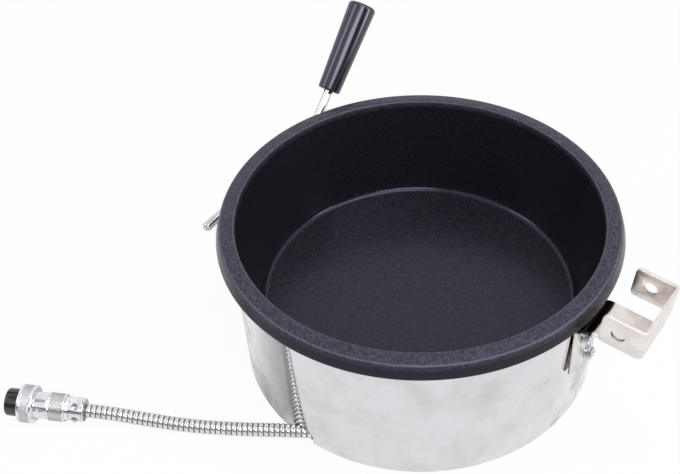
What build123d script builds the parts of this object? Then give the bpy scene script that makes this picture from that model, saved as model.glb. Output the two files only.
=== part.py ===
from build123d import *
from math import cos, pi, radians, sin, tan
import os

# Electric kettle of a popcorn machine: a coated cast pot in a polished steel shell, hung between
# a hinge bracket (+X side) and a bent handle rod (-X side), fed through a ribbed metal hose that
# ends in a round plug. Millimetres. Origin: centre of the base cover's underside. +Z up.
# +X points from the pot's axis to the hinge bracket, +Y along the hinge axis, to the grip's end.

# ---------------------------------------------------------------- pot
pot_height = 103.0        # from the surface it stands on to the top of the rim
pot_depth = 66.0          # rim top to cooking floor
mouth_radius = 108.2
mouth_edge = 2.7          # rounding of the rim's inner edge
rim_width = 11.8
rim_drop = 9.4            # height of the rim's outer face
rim_flare = 1.4           # how much wider the rim's outer face is at its foot
rim_edge = 4.0            # rounding of the rim's outer top edge
rim_plate = 4.8
rim_wall = 4.2
pot_taper = 11.2          # mouth radius less floor radius
pot_floor_corner = 6.5
pot_wall = 3.0
pot_base = 5.0

# ---------------------------------------------------------------- shell and base
shell_wall = 0.8
shell_gap = 0.4           # shell to pot wall, just under the rim
shell_draft = 1.6         # radius lost from top to bottom
cover_sheet = 1.0
cover_gap = 0.25
cover_lip = 6.0           # height of the cover's turned-up edge
cover_notch_gap = 0.3     # hose to the notch in that edge
dimple_lift = 3.0
dimple_mouth = 7.4
dimple_draw = 1.0
post_gap = 2.0            # posts' bosses to the heater's clamp plate
post_count = 3
post_first_angle = 95.0
post_across_flats = 7.0
post_boss_radius = 6.0
post_boss_height = 5.0
post_stud = 6.5
post_bore_depth = 11.0
cover_screw_reach = 9.0

# ---------------------------------------------------------------- fasteners
m4_radius = 2.0
m4_nut_flats = 7.0
m4_nut_height = 2.9
m4_washer_radius = 4.5
m4_washer_sheet = 0.6
m4_tail = 0.5             # stud end proud of its nut
thread_gap = 0.08         # radial gap between a thread and its hole
bolt_gap = 0.25           # radial gap of a clearance hole
pan_head_radius = 4.0
pan_head_height = 2.4
pan_head_edge = 1.2
m3_radius = 1.5
m3_head_radius = 2.8
m3_head_height = 1.8

# ---------------------------------------------------------------- hinge bracket (+X side)
sheet = 2.0               # both brackets are pressed from this
hinge_axis_radius = 137.1  # pot axis to hinge axis
hinge_axis_drop = 4.8     # below the rim's top
bracket_sag = 5.0         # degrees that the ears and their tongue slope down outwards
hinge_hole_radius = 4.0
ear_span = 42.4           # over the outer faces of the ears
ear_reach = 10.2          # hinge axis to the ears' free edges
ear_back = 14.6           # hinge axis to the web's outer face
ear_height = 20.1
ear_corner = 3.0
ear_bend = 3.2            # outer radius of the bends into the web
tongue_width = 27.6
tongue_aside = -1.3       # the tongue's middle, beside the bracket's
tongue_drop = 4.8         # ears' lower edge to the tongue's top face
tongue_bend = 4.0         # outer radius, web to tongue
flange_bend = 8.5         # outer radius, tongue to flange
flange_seat_gap = 0.1     # flange to the shell, level with the tongue
flange_foot = 60.0        # rim's top to the flange's lower edge
flange_corner = 1.5
hinge_studs_at = [(-4.3, 35.7), (2.4, 54.8)]   # across, and below the rim's top

# ---------------------------------------------------------------- cast pads behind both brackets
pad_half_width = 12.0
pad_gap = 0.15
pad_top_drop = 24.0
pad_foot_drop = 60.0
stud_depth = 5.0

# ---------------------------------------------------------------- handle (-X side)
rod_radius = 3.0
rod_offset = 7.5          # shell's seat of the bracket to the straight leg's axis
rod_drop = 27.0           # rim's top to the straight leg
rod_tip = 58.0            # free end, measured along -Y
rod_tip_chamfer = 0.8
rod_bend_at = 50.5        # corner of the bend, measured along +Y
rod_bend_radius = 12.0
rod_rise = 45.0           # degrees
rod_arm = 81.0            # corner of the bend to the end inside the grip
rod_hole_gap = 0.08
handle_ear_span = 34.0
handle_ear_reach = 6.5    # beyond the rod's axis
handle_ear_height = 20.0
handle_ear_bend = 3.2
handle_studs_at = [(0.0, 42.0), (0.0, 53.0)]
grip_start = 33.2         # corner of the bend to the grip's lower end
grip_length = 61.5
grip_foot_radius = 7.6
grip_head_radius = 9.5
grip_foot_edge = 1.2
grip_head_edge = 2.2
grip_recess_radius = 4.6
grip_recess_depth = 3.0
insert_radius = 5.0
insert_length = 34.0
insert_gap = 0.05

# ---------------------------------------------------------------- heating element and its clamp
tube_radius = 4.0
tube_gap = 0.1            # element to the pot's underside and to the clamp plate
element_radius = 62.0
element_gap_angle = 315.0  # direction of the gap between the two cold ends
element_gap_half = 18.0   # degrees
element_turn = 10.0
element_leg = 12.0
bead_radius = 3.2
bead_length = 4.0
pin_length = 8.0
plate_sheet = 2.0
plate_radius = 72.0
plate_bore = 20.0
clamp_screw_circle = 42.0
clamp_screw_count = 3
clamp_first_angle = 60.0
clamp_boss_radius = 6.0
clamp_screw_grip = 5.0

# ---------------------------------------------------------------- thermostat and fuse
thermostat_cap_radius = 8.0
thermostat_cap_height = 3.6
thermostat_body_radius = 7.2
thermostat_body_height = 10.8
strap_sheet = 1.0
strap_pitch = 11.9        # centre to each screw
strap_end_radius = 4.4
thermostat_boss_radius = 3.3
strap_screw_grip = 3.0
blade_width = 4.8
blade_sheet = 0.8
blade_offset = 4.0
blade_drop = 2.4
blade_bend = 1.0
blade_reach = 16.0        # thermostat's centre to the blade's tip
receptacle_start = 9.5
receptacle_width = 6.2
receptacle_height = 2.4
receptacle_wall = 0.8
fuse_radius = 2.3
fuse_length = 16.0
fuse_lead_length = 5.0
fuse_centre = (40.0, -30.0)
fuse_angle = -75.0
fuse_clip_sheet = 0.6
fuse_clip_width = 5.0
fuse_clip_gap = 0.1
fuse_foot = 5.0
rivet_radius = 1.2
rivet_head_radius = 2.2
rivet_head_height = 0.8

# ---------------------------------------------------------------- hose, its ferrule and the wires
hose_radius = 4.2
hose_root = 3.75          # radius between two ribs
hose_bore = 3.0
rib_pitch = 3.2
rib_crest = 0.55          # share of the pitch that is crest
rib_flank = 0.12
hose_plain_end = 0.6
# Centre line, from the ferrule inside the shell to the plug's tail.
hose_route = [(0.3, -102.7, 5.6), (-20.4, -114.9, 5.6), (-45.0, -129.2, 4.4),
              (-72.0, -144.0, 4.3), (-97.0, -154.6, 4.6), (-115.41, -164.42, 7.85),
              (-128.75, -171.81, 9.1)]
slot_gap = 0.5            # hose to the slot in the shell's lower edge
ferrule_flange_radius = 4.4
ferrule_flange = 2.0
ferrule_radius = 3.3
ferrule_length = 9.5
ferrule_bore = 2.6
locknut_flats = 8.4
locknut_height = 2.5
inlet_sheet = 1.0
inlet_height = 11.0
inlet_outer_side = 5.4
inlet_inner_side = 15.0
inlet_foot_width = 8.5
inlet_foot_length = 9.0
wire_radius = 1.1
wire_spread = 1.35
wire_gap = 0.05
wire_first_run = 18.0     # straight through the ferrule
sleeve_radius = 1.8
sleeve_length = 6.0
earth_boss_gap = 7.7      # clamp plate's edge to the boss's middle
earth_boss_angle = -72.5
earth_boss_radius = 4.6
earth_boss_height = 7.0
earth_lug_sheet = 0.8
earth_lug_radius = 4.0
earth_lug_width = 3.0
earth_lug_reach = 8.0
earth_lug_barrel = 4.5
earth_screw_grip = 4.0

# ---------------------------------------------------------------- plug, measured from its tail
clamp_length = 11.4
clamp_radius = 7.2
tail_radius = 8.6
tail_length = 11.1
tail_edge = 0.8
tail_cable_bore = 3.0
barrel_radius = 8.0
barrel_bore = 6.4
barrel_thread_radius = 7.2
barrel_thread_length = 9.0
barrel_length = 15.0      # visible step to the front flange
barrel_flange_radius = 9.2
barrel_flange = 2.0
insulator_radius = 8.4
insulator_length = 8.8
insulator_edge = 1.5
insulator_stub_gap = 0.06
insulator_stub_length = 16.0
key_width = 1.8
key_depth = 1.0
contact_count = 3
contact_circle = 4.0
contact_radius = 1.6
contact_rear = 3.0
contact_socket_radius = 1.0
contact_socket_depth = 9.0
contact_recess = 1.0
ring_radius = 11.6
ring_length = 9.4
ring_edge = 0.9
ring_lip = 2.0
ring_bore = 9.5
ring_slide_gap = 0.06
ring_back = 7.8           # ring's rear face in front of the knurled tail
retainer_sheet = 0.8
retainer_gap = 0.1
saddle_angle = 30.0       # above level, on the side away from the pot
saddle_split = 2.2
saddle_gap = 0.4
saddle_length = 8.0
saddle_screw_offset = 4.4
saddle_screw_radius = 1.0
saddle_head_radius = 1.8
saddle_head_height = 1.2
saddle_screw_depth = 3.0  # into the clamp's other half, past the axis
saddle_flat = 4.8
saddle_end = 1.0          # solid rim left behind the saddle
grub_radius = 1.0
grub_position = 5.0       # in front of the knurled tail
grub_seat = 5.2           # axis to the screw's inner end

# ---------------------------------------------------------------- derived places
floor_radius = mouth_radius - pot_taper
floor_top = pot_height - pot_depth
floor_under = floor_top - pot_base
rim_radius = mouth_radius + rim_width
rim_under = pot_height - rim_plate
rim_foot = pot_height - rim_drop
wall_slope = pot_taper / pot_depth


def pot_outer_radius(height):
    """Outside of the pot's tapered wall at a height."""
    return floor_radius + pot_wall + (height - floor_top) * wall_slope


shell_top_radius = pot_outer_radius(rim_under) + shell_gap + shell_wall
shell_foot_radius = shell_top_radius - shell_draft


def shell_radius(height):
    """Outside of the shell at a height."""
    return shell_foot_radius + shell_draft * height / rim_under


boss_foot = floor_under - post_boss_height
dimple_top = dimple_lift + cover_sheet
tube_height = floor_under - tube_gap - tube_radius
plate_top = tube_height - tube_radius - tube_gap
plate_foot = plate_top - plate_sheet
strap_top = floor_under - thermostat_cap_height
pad_top = pot_height - pad_top_drop
pad_foot = pot_height - pad_foot_drop
pad_radius = shell_radius(pad_foot) - shell_wall - pad_gap
hinge_height = pot_height - hinge_axis_drop
ear_foot = hinge_height - ear_height / 2
tongue_top = ear_foot - tongue_drop
seat_radius = shell_radius(tongue_top) + flange_seat_gap
rod_height = pot_height - rod_drop
rod_axis_radius = seat_radius + rod_offset
post_circle = plate_radius + post_boss_radius + post_gap

up = Vector(0, 0, 1)
hose_points = [Vector(*point) for point in hose_route]
hose_out = (hose_points[1] - hose_points[0]).normalized()
hose_in = hose_out * -1
plug_tail_point = hose_points[-1]
plug_forward = (hose_points[-1] - hose_points[-2]).normalized()
sleeve_front = clamp_length + tail_length
flange_back = sleeve_front + barrel_length
barrel_front = flange_back + barrel_flange
ring_rear = sleeve_front + ring_back
ring_slide_forward = flange_back - (ring_rear + ring_lip + 2 * retainer_gap + retainer_sheet)
ring_slide_back = ring_back - retainer_gap

os.makedirs("parts", exist_ok=True)


# ---------------------------------------------------------------- helpers
def square_to(point, direction):
    """Plane across a direction, its X axis level."""
    side = up.cross(direction).normalized()
    return Plane(origin=point, x_dir=side, z_dir=direction)


def along(point, direction):
    """Plane that holds a direction as its Y axis and a level line as its X axis."""
    side = direction.cross(up).normalized()
    return Plane(origin=point, x_dir=side, z_dir=side.cross(direction))


def round_bar(plane, radius, length, mode=Mode.ADD):
    """Cylinder that stands on a plane."""
    with BuildSketch(plane) as section:
        Circle(radius)
    extrude(section.sketch, amount=length, mode=mode)


def hex_bar(plane, across_flats, length, mode=Mode.ADD):
    """Hexagonal prism that stands on a plane."""
    with BuildSketch(plane) as section:
        RegularPolygon(across_flats / 2, 6, major_radius=False)
    extrude(section.sketch, amount=length, mode=mode)


def turned(outline, plane, axis, mode=Mode.ADD):
    """Solid of revolution from corners given as (radius, distance along the axis, rounding)."""
    corners = [(radius, distance) for radius, distance, _ in outline]
    roundings = [rounding for _, _, rounding in outline]
    with BuildSketch(plane) as section:
        with BuildLine():
            FilletPolyline(*corners, radius=roundings, close=True)
        make_face()
    revolve(section.sketch, axis=axis, mode=mode)


def bend_radii(points, share=0.45, largest=1e6):
    """One radius for each inner corner of a route, as large as its two runs allow."""
    radii = []
    for before, corner, after in zip(points, points[1:], points[2:]):
        arrive = corner - before
        leave = after - corner
        turn = radians(arrive.get_angle(leave))
        shorter = min(arrive.length, leave.length)
        radii.append(min(share * shorter / tan(turn / 2), largest))
    return radii


def strip(points, width, thickness, bend, across):
    """Pressed strip of sheet: a rectangle swept along straight runs joined by bends."""
    with BuildLine() as centre:
        FilletPolyline(*points, radius=bend)
    with BuildSketch(Plane(origin=centre.line @ 0, x_dir=across, z_dir=centre.line % 0)) as section:
        Rectangle(width, thickness)
    sweep(section.sketch, path=centre.line)


def wire(points):
    """Round wire along a route given by its corners, every bend as wide as it can be."""
    with BuildLine() as centre:
        FilletPolyline(*points, radius=bend_radii(points))
    with BuildSketch(Plane(origin=centre.line @ 0, z_dir=centre.line % 0)) as section:
        Circle(wire_radius)
    sweep(section.sketch, path=centre.line)


def polar(radius, angle, height=0.0):
    """Point at a radius and an angle in degrees about the pot's axis."""
    return Vector(radius * cos(radians(angle)), radius * sin(radians(angle)), height)


def finish(builder, name):
    """Label a piece and write it."""
    builder.part.label = name
    export_step(builder.part, f"parts/{name}.step")


earth_centre = polar(plate_radius + earth_boss_gap, earth_boss_angle)
earth_boss_at = (earth_centre.X, earth_centre.Y)
post_angles = [post_first_angle + 360 * i / post_count for i in range(post_count)]
clamp_angles = [clamp_first_angle + 360 * i / clamp_screw_count for i in range(clamp_screw_count)]
upright = Plane.XZ


# ================================================================ pot, shell and base
with BuildPart() as inner_pot:
    turned([(0, floor_under, 0), (pot_outer_radius(floor_under), floor_under,
                                  pot_floor_corner + pot_base - 1),
            (pot_outer_radius(rim_under), rim_under, 0), (rim_radius - rim_wall, rim_under, 0),
            (rim_radius - rim_wall, rim_foot, 0), (rim_radius, rim_foot, 0.6),
            (rim_radius - rim_flare, pot_height, rim_edge), (0, pot_height, 0)],
           upright, Axis.Z)
    # cast pads behind the two brackets, up to the inside of the shell
    with BuildSketch(Plane.XY.offset(pad_foot)):
        Circle(pad_radius)
        Rectangle(3 * pad_radius, 2 * pad_half_width, mode=Mode.INTERSECT)
    extrude(amount=pad_top - pad_foot)
    # bosses under the floor: base posts, clamp screws, thermostat strap, earth screw
    for angle in post_angles:
        round_bar(Plane(polar(post_circle, angle, boss_foot)), post_boss_radius,
                  pot_base + post_boss_height - 1)
    for angle in clamp_angles:
        round_bar(Plane(polar(clamp_screw_circle, angle, plate_top)), clamp_boss_radius,
                  floor_under - plate_top + 1)
    for side in (-1, 1):
        round_bar(Plane(Vector(side * strap_pitch, 0, strap_top)), thermostat_boss_radius,
                  floor_under - strap_top + 1)
    round_bar(Plane(Vector(*earth_boss_at, floor_under - earth_boss_height)), earth_boss_radius,
              earth_boss_height + 1)
    # the cooking space
    turned([(0, floor_top, 0), (floor_radius, floor_top, pot_floor_corner),
            (mouth_radius, pot_height, mouth_edge), (rim_radius - rim_edge - rim_flare, pot_height, 0),
            (rim_radius - rim_edge - rim_flare, pot_height + 9, 0), (0, pot_height + 9, 0)],
           upright, Axis.Z, mode=Mode.SUBTRACT)
    # blind threaded holes
    for angle in post_angles:
        round_bar(Plane(polar(post_circle, angle, boss_foot)), m4_radius + thread_gap, post_stud + 0.5,
                  mode=Mode.SUBTRACT)
    for angle in clamp_angles:
        round_bar(Plane(polar(clamp_screw_circle, angle, plate_top)), m4_radius + thread_gap,
                  clamp_screw_grip + 0.5, mode=Mode.SUBTRACT)
    for side in (-1, 1):
        round_bar(Plane(Vector(side * strap_pitch, 0, strap_top)), m3_radius + thread_gap,
                  strap_screw_grip + 0.5, mode=Mode.SUBTRACT)
    round_bar(Plane(Vector(*earth_boss_at, floor_under - earth_boss_height)), m4_radius + thread_gap,
              earth_boss_height - 1, mode=Mode.SUBTRACT)
    for side, studs_at in ((1, hinge_studs_at), (-1, handle_studs_at)):
        for across, drop in studs_at:
            seat = Vector(side * (pad_radius + 1), across, pot_height - drop)
            round_bar(Plane(seat, z_dir=(-side, 0, 0)), m4_radius + thread_gap,
                      stud_depth + 1.5, mode=Mode.SUBTRACT)
finish(inner_pot, "inner_pot")

with BuildPart() as outer_shell:
    turned([(shell_foot_radius - shell_wall, 0, 0), (shell_foot_radius, 0, 0),
            (shell_top_radius, rim_under, 0), (shell_top_radius - shell_wall, rim_under, 0)],
           upright, Axis.Z)
    for side, studs_at in ((1, hinge_studs_at), (-1, handle_studs_at)):
        for across, drop in studs_at:
            seat = Vector(side * (shell_top_radius + 3), across, pot_height - drop)
            round_bar(Plane(seat, z_dir=(-side, 0, 0)), m4_radius + bolt_gap, 12,
                      mode=Mode.SUBTRACT)
    # slot in the lower edge for the hose, along the hose's own direction
    with BuildSketch(square_to(hose_points[0], hose_out)) as slot:
        Circle(hose_radius + slot_gap)
        Rectangle(2 * (hose_radius + slot_gap), 2 * hose_points[0].Z,
                  align=(Align.CENTER, Align.MAX))
    extrude(slot.sketch, amount=40, mode=Mode.SUBTRACT)
finish(outer_shell, "outer_shell")

cover_radius = shell_foot_radius - shell_wall - cover_gap
with BuildPart() as base_cover:
    turned([(0, 0, 0), (cover_radius, 0, 1.4), (cover_radius, cover_sheet + cover_lip, 0),
            (cover_radius - cover_sheet, cover_sheet + cover_lip, 0),
            (cover_radius - cover_sheet, cover_sheet, 0.5), (0, cover_sheet, 0)],
           upright, Axis.Z)
    # pressed-in dimples that hold the screw heads off the surface
    for angle in post_angles:
        seat = polar(post_circle, angle)
        with BuildSketch(Plane(seat)) as dimple_foot:
            Circle(dimple_mouth + dimple_draw + cover_sheet)
        with BuildSketch(Plane(seat + up * dimple_top)) as dimple_head:
            Circle(dimple_mouth)
        loft([dimple_foot.sketch, dimple_head.sketch])
        with BuildSketch(Plane(seat)) as pocket_foot:
            Circle(dimple_mouth + dimple_draw)
        with BuildSketch(Plane(seat + up * dimple_lift)) as pocket_head:
            Circle(dimple_mouth - cover_sheet)
        loft([pocket_foot.sketch, pocket_head.sketch], mode=Mode.SUBTRACT)
        round_bar(Plane(seat), m4_radius + bolt_gap, 2 * dimple_top, mode=Mode.SUBTRACT)
    # notch in the turned-up edge under the hose
    with BuildSketch(square_to(hose_points[0], hose_out)) as notch:
        Circle(hose_radius + cover_notch_gap)
        Rectangle(2 * (hose_radius + cover_notch_gap), 2 * cover_lip, align=(Align.CENTER, Align.MIN))
    extrude(notch.sketch, amount=40, mode=Mode.SUBTRACT)
finish(base_cover, "base_cover")

with BuildPart() as base_posts:
    for angle in post_angles:
        seat = polar(post_circle, angle, dimple_top)
        hex_bar(Plane(seat), post_across_flats, boss_foot - dimple_top)
        round_bar(Plane(polar(post_circle, angle, boss_foot)), m4_radius, post_stud)
        round_bar(Plane(seat), m4_radius + thread_gap, post_bore_depth, mode=Mode.SUBTRACT)
finish(base_posts, "base_posts")

with BuildPart() as base_cover_screws:
    for angle in post_angles:
        head = polar(post_circle, angle, dimple_lift - pan_head_height)
        turned([(0, 0, 0), (pan_head_radius, 0, pan_head_edge),
                (pan_head_radius, pan_head_height, 0), (m4_radius, pan_head_height, 0),
                (m4_radius, pan_head_height + cover_sheet + cover_screw_reach, 0),
                (0, pan_head_height + cover_sheet + cover_screw_reach, 0)],
               Plane(head, x_dir=(1, 0, 0), z_dir=(0, -1, 0)), Axis(head, up))
finish(base_cover_screws, "base_cover_screws")


# ================================================================ heating element
gap_axis = polar(1, element_gap_angle)
gap_side = polar(1, element_gap_angle + 90)


def cold_end(side):
    """Where one straight end of the element begins, at its turn, and its tip."""
    centre = polar(element_radius + element_turn, element_gap_angle + side * element_gap_half,
                   tube_height)
    turn_end = centre - gap_side * side * element_turn
    return turn_end, turn_end + gap_axis * element_leg


with BuildPart() as heating_element:
    turn_a, tip_a = cold_end(1)
    turn_b, tip_b = cold_end(-1)
    with BuildLine() as element_line:
        leg_in = Line(tip_a, turn_a)
        turn_in = JernArc(leg_in @ 1, leg_in % 1, element_turn, element_gap_half - 90)
        ring = JernArc(turn_in @ 1, turn_in % 1, element_radius, 360 - 2 * element_gap_half)
        turn_out = JernArc(ring @ 1, ring % 1, element_turn, element_gap_half - 90)
        Line(turn_out @ 1, tip_b)
    with BuildSketch(Plane(origin=tip_a, z_dir=gap_axis * -1)) as tube:
        Circle(tube_radius)
    sweep(tube.sketch, path=element_line.line)
finish(heating_element, "heating_element")

with BuildPart() as element_terminals:
    for tip in (tip_a, tip_b):
        round_bar(Plane(origin=tip, z_dir=gap_axis), bead_radius, bead_length)
        round_bar(Plane(origin=tip, z_dir=gap_axis), wire_radius, bead_length + pin_length)
finish(element_terminals, "element_terminals")
pin_end_a = tip_a + gap_axis * (bead_length + pin_length)
pin_end_b = tip_b + gap_axis * (bead_length + pin_length)

# thermal fuse under the clamp plate, in a strap riveted to the plate
fuse_height = plate_foot - fuse_clip_gap - fuse_radius
fuse_middle = Vector(*fuse_centre, fuse_height)
fuse_along = polar(1, fuse_angle)
fuse_across = polar(1, fuse_angle + 90)
clip_radius = fuse_radius + fuse_clip_gap
rivet_offset = clip_radius + fuse_clip_sheet + fuse_foot / 2
rivet_seats = [Vector(*fuse_centre, plate_foot) + fuse_across * side * rivet_offset for side in (-1, 1)]

with BuildPart() as element_clamp_plate:
    with BuildSketch(Plane.XY.offset(plate_foot)):
        Circle(plate_radius)
        Circle(plate_bore, mode=Mode.SUBTRACT)
        with PolarLocations(clamp_screw_circle, clamp_screw_count, start_angle=clamp_first_angle):
            Circle(m4_radius + bolt_gap, mode=Mode.SUBTRACT)
    extrude(amount=plate_sheet)
    for seat in rivet_seats:
        round_bar(Plane(seat), rivet_radius + bolt_gap, plate_sheet, mode=Mode.SUBTRACT)
finish(element_clamp_plate, "element_clamp_plate")

with BuildPart() as clamp_plate_screws:
    for angle in clamp_angles:
        head = polar(clamp_screw_circle, angle, plate_foot - pan_head_height)
        tip_height = pan_head_height + plate_sheet + clamp_screw_grip
        turned([(0, 0, 0), (pan_head_radius, 0, pan_head_edge),
                (pan_head_radius, pan_head_height, 0), (m4_radius, pan_head_height, 0),
                (m4_radius, tip_height, 0), (0, tip_height, 0)],
               Plane(head, x_dir=(1, 0, 0), z_dir=(0, -1, 0)), Axis(head, up))
finish(clamp_plate_screws, "clamp_plate_screws")


# ================================================================ thermostat and fuse
body_foot = strap_top - thermostat_body_height
blade_height = body_foot - blade_drop
with BuildPart() as thermostat:
    turned([(0, body_foot, 0), (thermostat_body_radius, body_foot, 0.6),
            (thermostat_body_radius, strap_top, 0), (thermostat_cap_radius, strap_top, 0),
            (thermostat_cap_radius, floor_under, 0.8), (0, floor_under, 0)], upright, Axis.Z)
    for side in (-1, 1):
        strip([Vector(side * blade_offset, 0, body_foot + 1), Vector(side * blade_offset, 0, blade_height),
               Vector(side * blade_reach, 0, blade_height)], blade_width, blade_sheet, blade_bend,
              (0, 1, 0))
finish(thermostat, "thermostat")

with BuildPart() as thermostat_strap:
    with BuildSketch(Plane.XY.offset(strap_top - strap_sheet)):
        with Locations((-strap_pitch, 0), (strap_pitch, 0)):
            Circle(strap_end_radius)
        Circle(thermostat_cap_radius + 0.9)
        Circle(thermostat_body_radius + 0.2, mode=Mode.SUBTRACT)
        with Locations((-strap_pitch, 0), (strap_pitch, 0)):
            Circle(m3_radius + bolt_gap, mode=Mode.SUBTRACT)
    extrude(amount=strap_sheet)
finish(thermostat_strap, "thermostat_strap")

with BuildPart() as thermostat_screws:
    for side in (-1, 1):
        seat = Vector(side * strap_pitch, 0, strap_top - strap_sheet)
        round_bar(Plane(seat - up * m3_head_height), m3_head_radius, m3_head_height)
        round_bar(Plane(seat), m3_radius, strap_sheet + strap_screw_grip)
finish(thermostat_screws, "thermostat_screws")

with BuildPart() as thermal_fuse:
    round_bar(Plane(origin=fuse_middle - fuse_along * fuse_length / 2, z_dir=fuse_along),
              fuse_radius, fuse_length)
    chamfer(thermal_fuse.edges().filter_by(GeomType.CIRCLE), 0.5)
    round_bar(Plane(origin=fuse_middle - fuse_along * (fuse_length / 2 + fuse_lead_length),
                    z_dir=fuse_along), wire_radius, fuse_length + 2 * fuse_lead_length)
finish(thermal_fuse, "thermal_fuse")

with BuildPart() as fuse_clip:
    clip_plane = Plane(origin=fuse_middle - fuse_along * fuse_clip_width / 2,
                       x_dir=fuse_across * -1, z_dir=fuse_along)
    clip_drop = plate_foot - fuse_height
    with BuildSketch(clip_plane) as clip:
        Circle(clip_radius + fuse_clip_sheet)
        Rectangle(4 * clip_radius, 4 * clip_radius, align=(Align.CENTER, Align.MIN), mode=Mode.INTERSECT)
        Rectangle(2 * (clip_radius + fuse_clip_sheet), clip_drop, align=(Align.CENTER, Align.MAX))
        with Locations((0, -clip_drop)):
            Rectangle(2 * (clip_radius + fuse_clip_sheet + fuse_foot), fuse_clip_sheet,
                      align=(Align.CENTER, Align.MIN))
        Circle(clip_radius, mode=Mode.SUBTRACT)
        Rectangle(2 * clip_radius, clip_drop, align=(Align.CENTER, Align.MAX), mode=Mode.SUBTRACT)
    extrude(clip.sketch, amount=fuse_clip_width)
    for seat in rivet_seats:
        round_bar(Plane(seat - up * 2), rivet_radius + thread_gap, 3, mode=Mode.SUBTRACT)
finish(fuse_clip, "fuse_clip")

with BuildPart() as fuse_clip_rivets:
    for seat in rivet_seats:
        foot = seat - up * fuse_clip_sheet
        round_bar(Plane(foot - up * rivet_head_height), rivet_head_radius, rivet_head_height)
        round_bar(Plane(foot), rivet_radius, fuse_clip_sheet + plate_sheet)
        round_bar(Plane(seat + up * plate_sheet), rivet_head_radius - 0.3, rivet_head_height)
finish(fuse_clip_rivets, "fuse_clip_rivets")


# ================================================================ inlet: ferrule, bracket, wires
entry = hose_points[0]
entry_plane = square_to(entry, hose_in)
with BuildPart() as hose_ferrule:
    turned([(ferrule_bore, 0, 0), (ferrule_flange_radius, 0, 0.4),
            (ferrule_flange_radius, ferrule_flange, 0), (ferrule_radius, ferrule_flange, 0),
            (ferrule_radius, ferrule_length, 0.4), (ferrule_bore, ferrule_length, 0)],
           along(entry, hose_in), Axis(entry, hose_in))
finish(hose_ferrule, "hose_ferrule")

with BuildPart() as inlet_bracket:
    plate_plane = square_to(entry + hose_in * ferrule_flange, hose_in)
    with BuildSketch(plate_plane) as upright_plate:
        with Locations((-inlet_outer_side, cover_sheet - entry.Z)):
            Rectangle(inlet_outer_side + inlet_inner_side, inlet_height, align=(Align.MIN, Align.MIN))
        Circle(ferrule_radius + bolt_gap, mode=Mode.SUBTRACT)
    extrude(upright_plate.sketch, amount=inlet_sheet)
    with BuildSketch(plate_plane) as foot_section:
        with Locations((inlet_inner_side - inlet_foot_width, cover_sheet - entry.Z)):
            Rectangle(inlet_foot_width, inlet_sheet, align=(Align.MIN, Align.MIN))
    extrude(foot_section.sketch, amount=inlet_foot_length)
finish(inlet_bracket, "inlet_bracket")

with BuildPart() as ferrule_locknut:
    nut_plane = square_to(entry + hose_in * (ferrule_flange + inlet_sheet), hose_in)
    hex_bar(nut_plane, locknut_flats, locknut_height)
    round_bar(nut_plane, ferrule_radius + thread_gap, locknut_height, mode=Mode.SUBTRACT)
finish(ferrule_locknut, "ferrule_locknut")


def from_ferrule(angle):
    """First two corners of a wire that leaves the ferrule, at its place in the bore."""
    aside = Vector(wire_spread * cos(radians(angle)), wire_spread * sin(radians(angle)), 0)
    start = entry_plane.from_local_coords(aside)
    return [start, start + hose_in * wire_first_run]


blade_tip = blade_reach + receptacle_wall
fuse_start = fuse_middle - fuse_along * (fuse_length / 2 + fuse_lead_length)
fuse_end = fuse_middle + fuse_along * (fuse_length / 2 + fuse_lead_length)
lug_height = floor_under - earth_boss_height - earth_lug_sheet / 2
lug_end = earth_centre + Vector(earth_lug_reach, 0, lug_height)
wire_circle = shell_foot_radius - 11.4


def rising(share):
    """Height at a share of the way up from the ferrule to the thermostat's blades."""
    return entry.Z + share * (blade_height - entry.Z)


with BuildPart() as line_wire:
    wire(from_ferrule(330) + [polar(plate_radius + 9.8, -78, rising(0.35)),
                              polar(plate_radius - 9.8, -93.7, rising(0.5)),
                              polar(plate_radius - 23.2, -132.5, rising(0.85)),
                              Vector(-blade_tip - 21.2, 0, blade_height),
                              Vector(-blade_tip, 0, blade_height)])
finish(line_wire, "line_wire")

with BuildPart() as neutral_wire:
    wire(from_ferrule(210) + [polar(wire_circle, -67.3, rising(0.05)),
                              polar(wire_circle + 4, -56.9, rising(1.3)),
                              pin_end_b + gap_axis * 8.5, pin_end_b])
finish(neutral_wire, "neutral_wire")

with BuildPart() as earth_wire:
    wire(from_ferrule(90) + [earth_centre + Vector(4, -8, rising(0.35)),
                             earth_centre + Vector(18, -6, rising(1.2)),
                             lug_end + Vector(8.5, 0, 0), lug_end])
finish(earth_wire, "earth_wire")

with BuildPart() as thermostat_lead:
    wire([Vector(blade_tip, 0, blade_height), Vector(blade_tip + 12.2, 0, blade_height),
          fuse_start - fuse_along * 11, fuse_start])
finish(thermostat_lead, "thermostat_lead")

with BuildPart() as fuse_lead:
    wire([fuse_end, fuse_end + fuse_along * 10, Vector(68, -71, 20),
          pin_end_a + gap_axis * 9, pin_end_a])
finish(fuse_lead, "fuse_lead")

with BuildPart() as wire_sleeves:
    for joint, direction in ((pin_end_a, gap_axis), (pin_end_b, gap_axis),
                             (fuse_start, fuse_along), (fuse_end, fuse_along)):
        sleeve_plane = Plane(origin=joint - direction * sleeve_length / 2, z_dir=direction)
        round_bar(sleeve_plane, sleeve_radius, sleeve_length)
        round_bar(sleeve_plane, wire_radius + wire_gap, sleeve_length, mode=Mode.SUBTRACT)
finish(wire_sleeves, "wire_sleeves")

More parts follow.
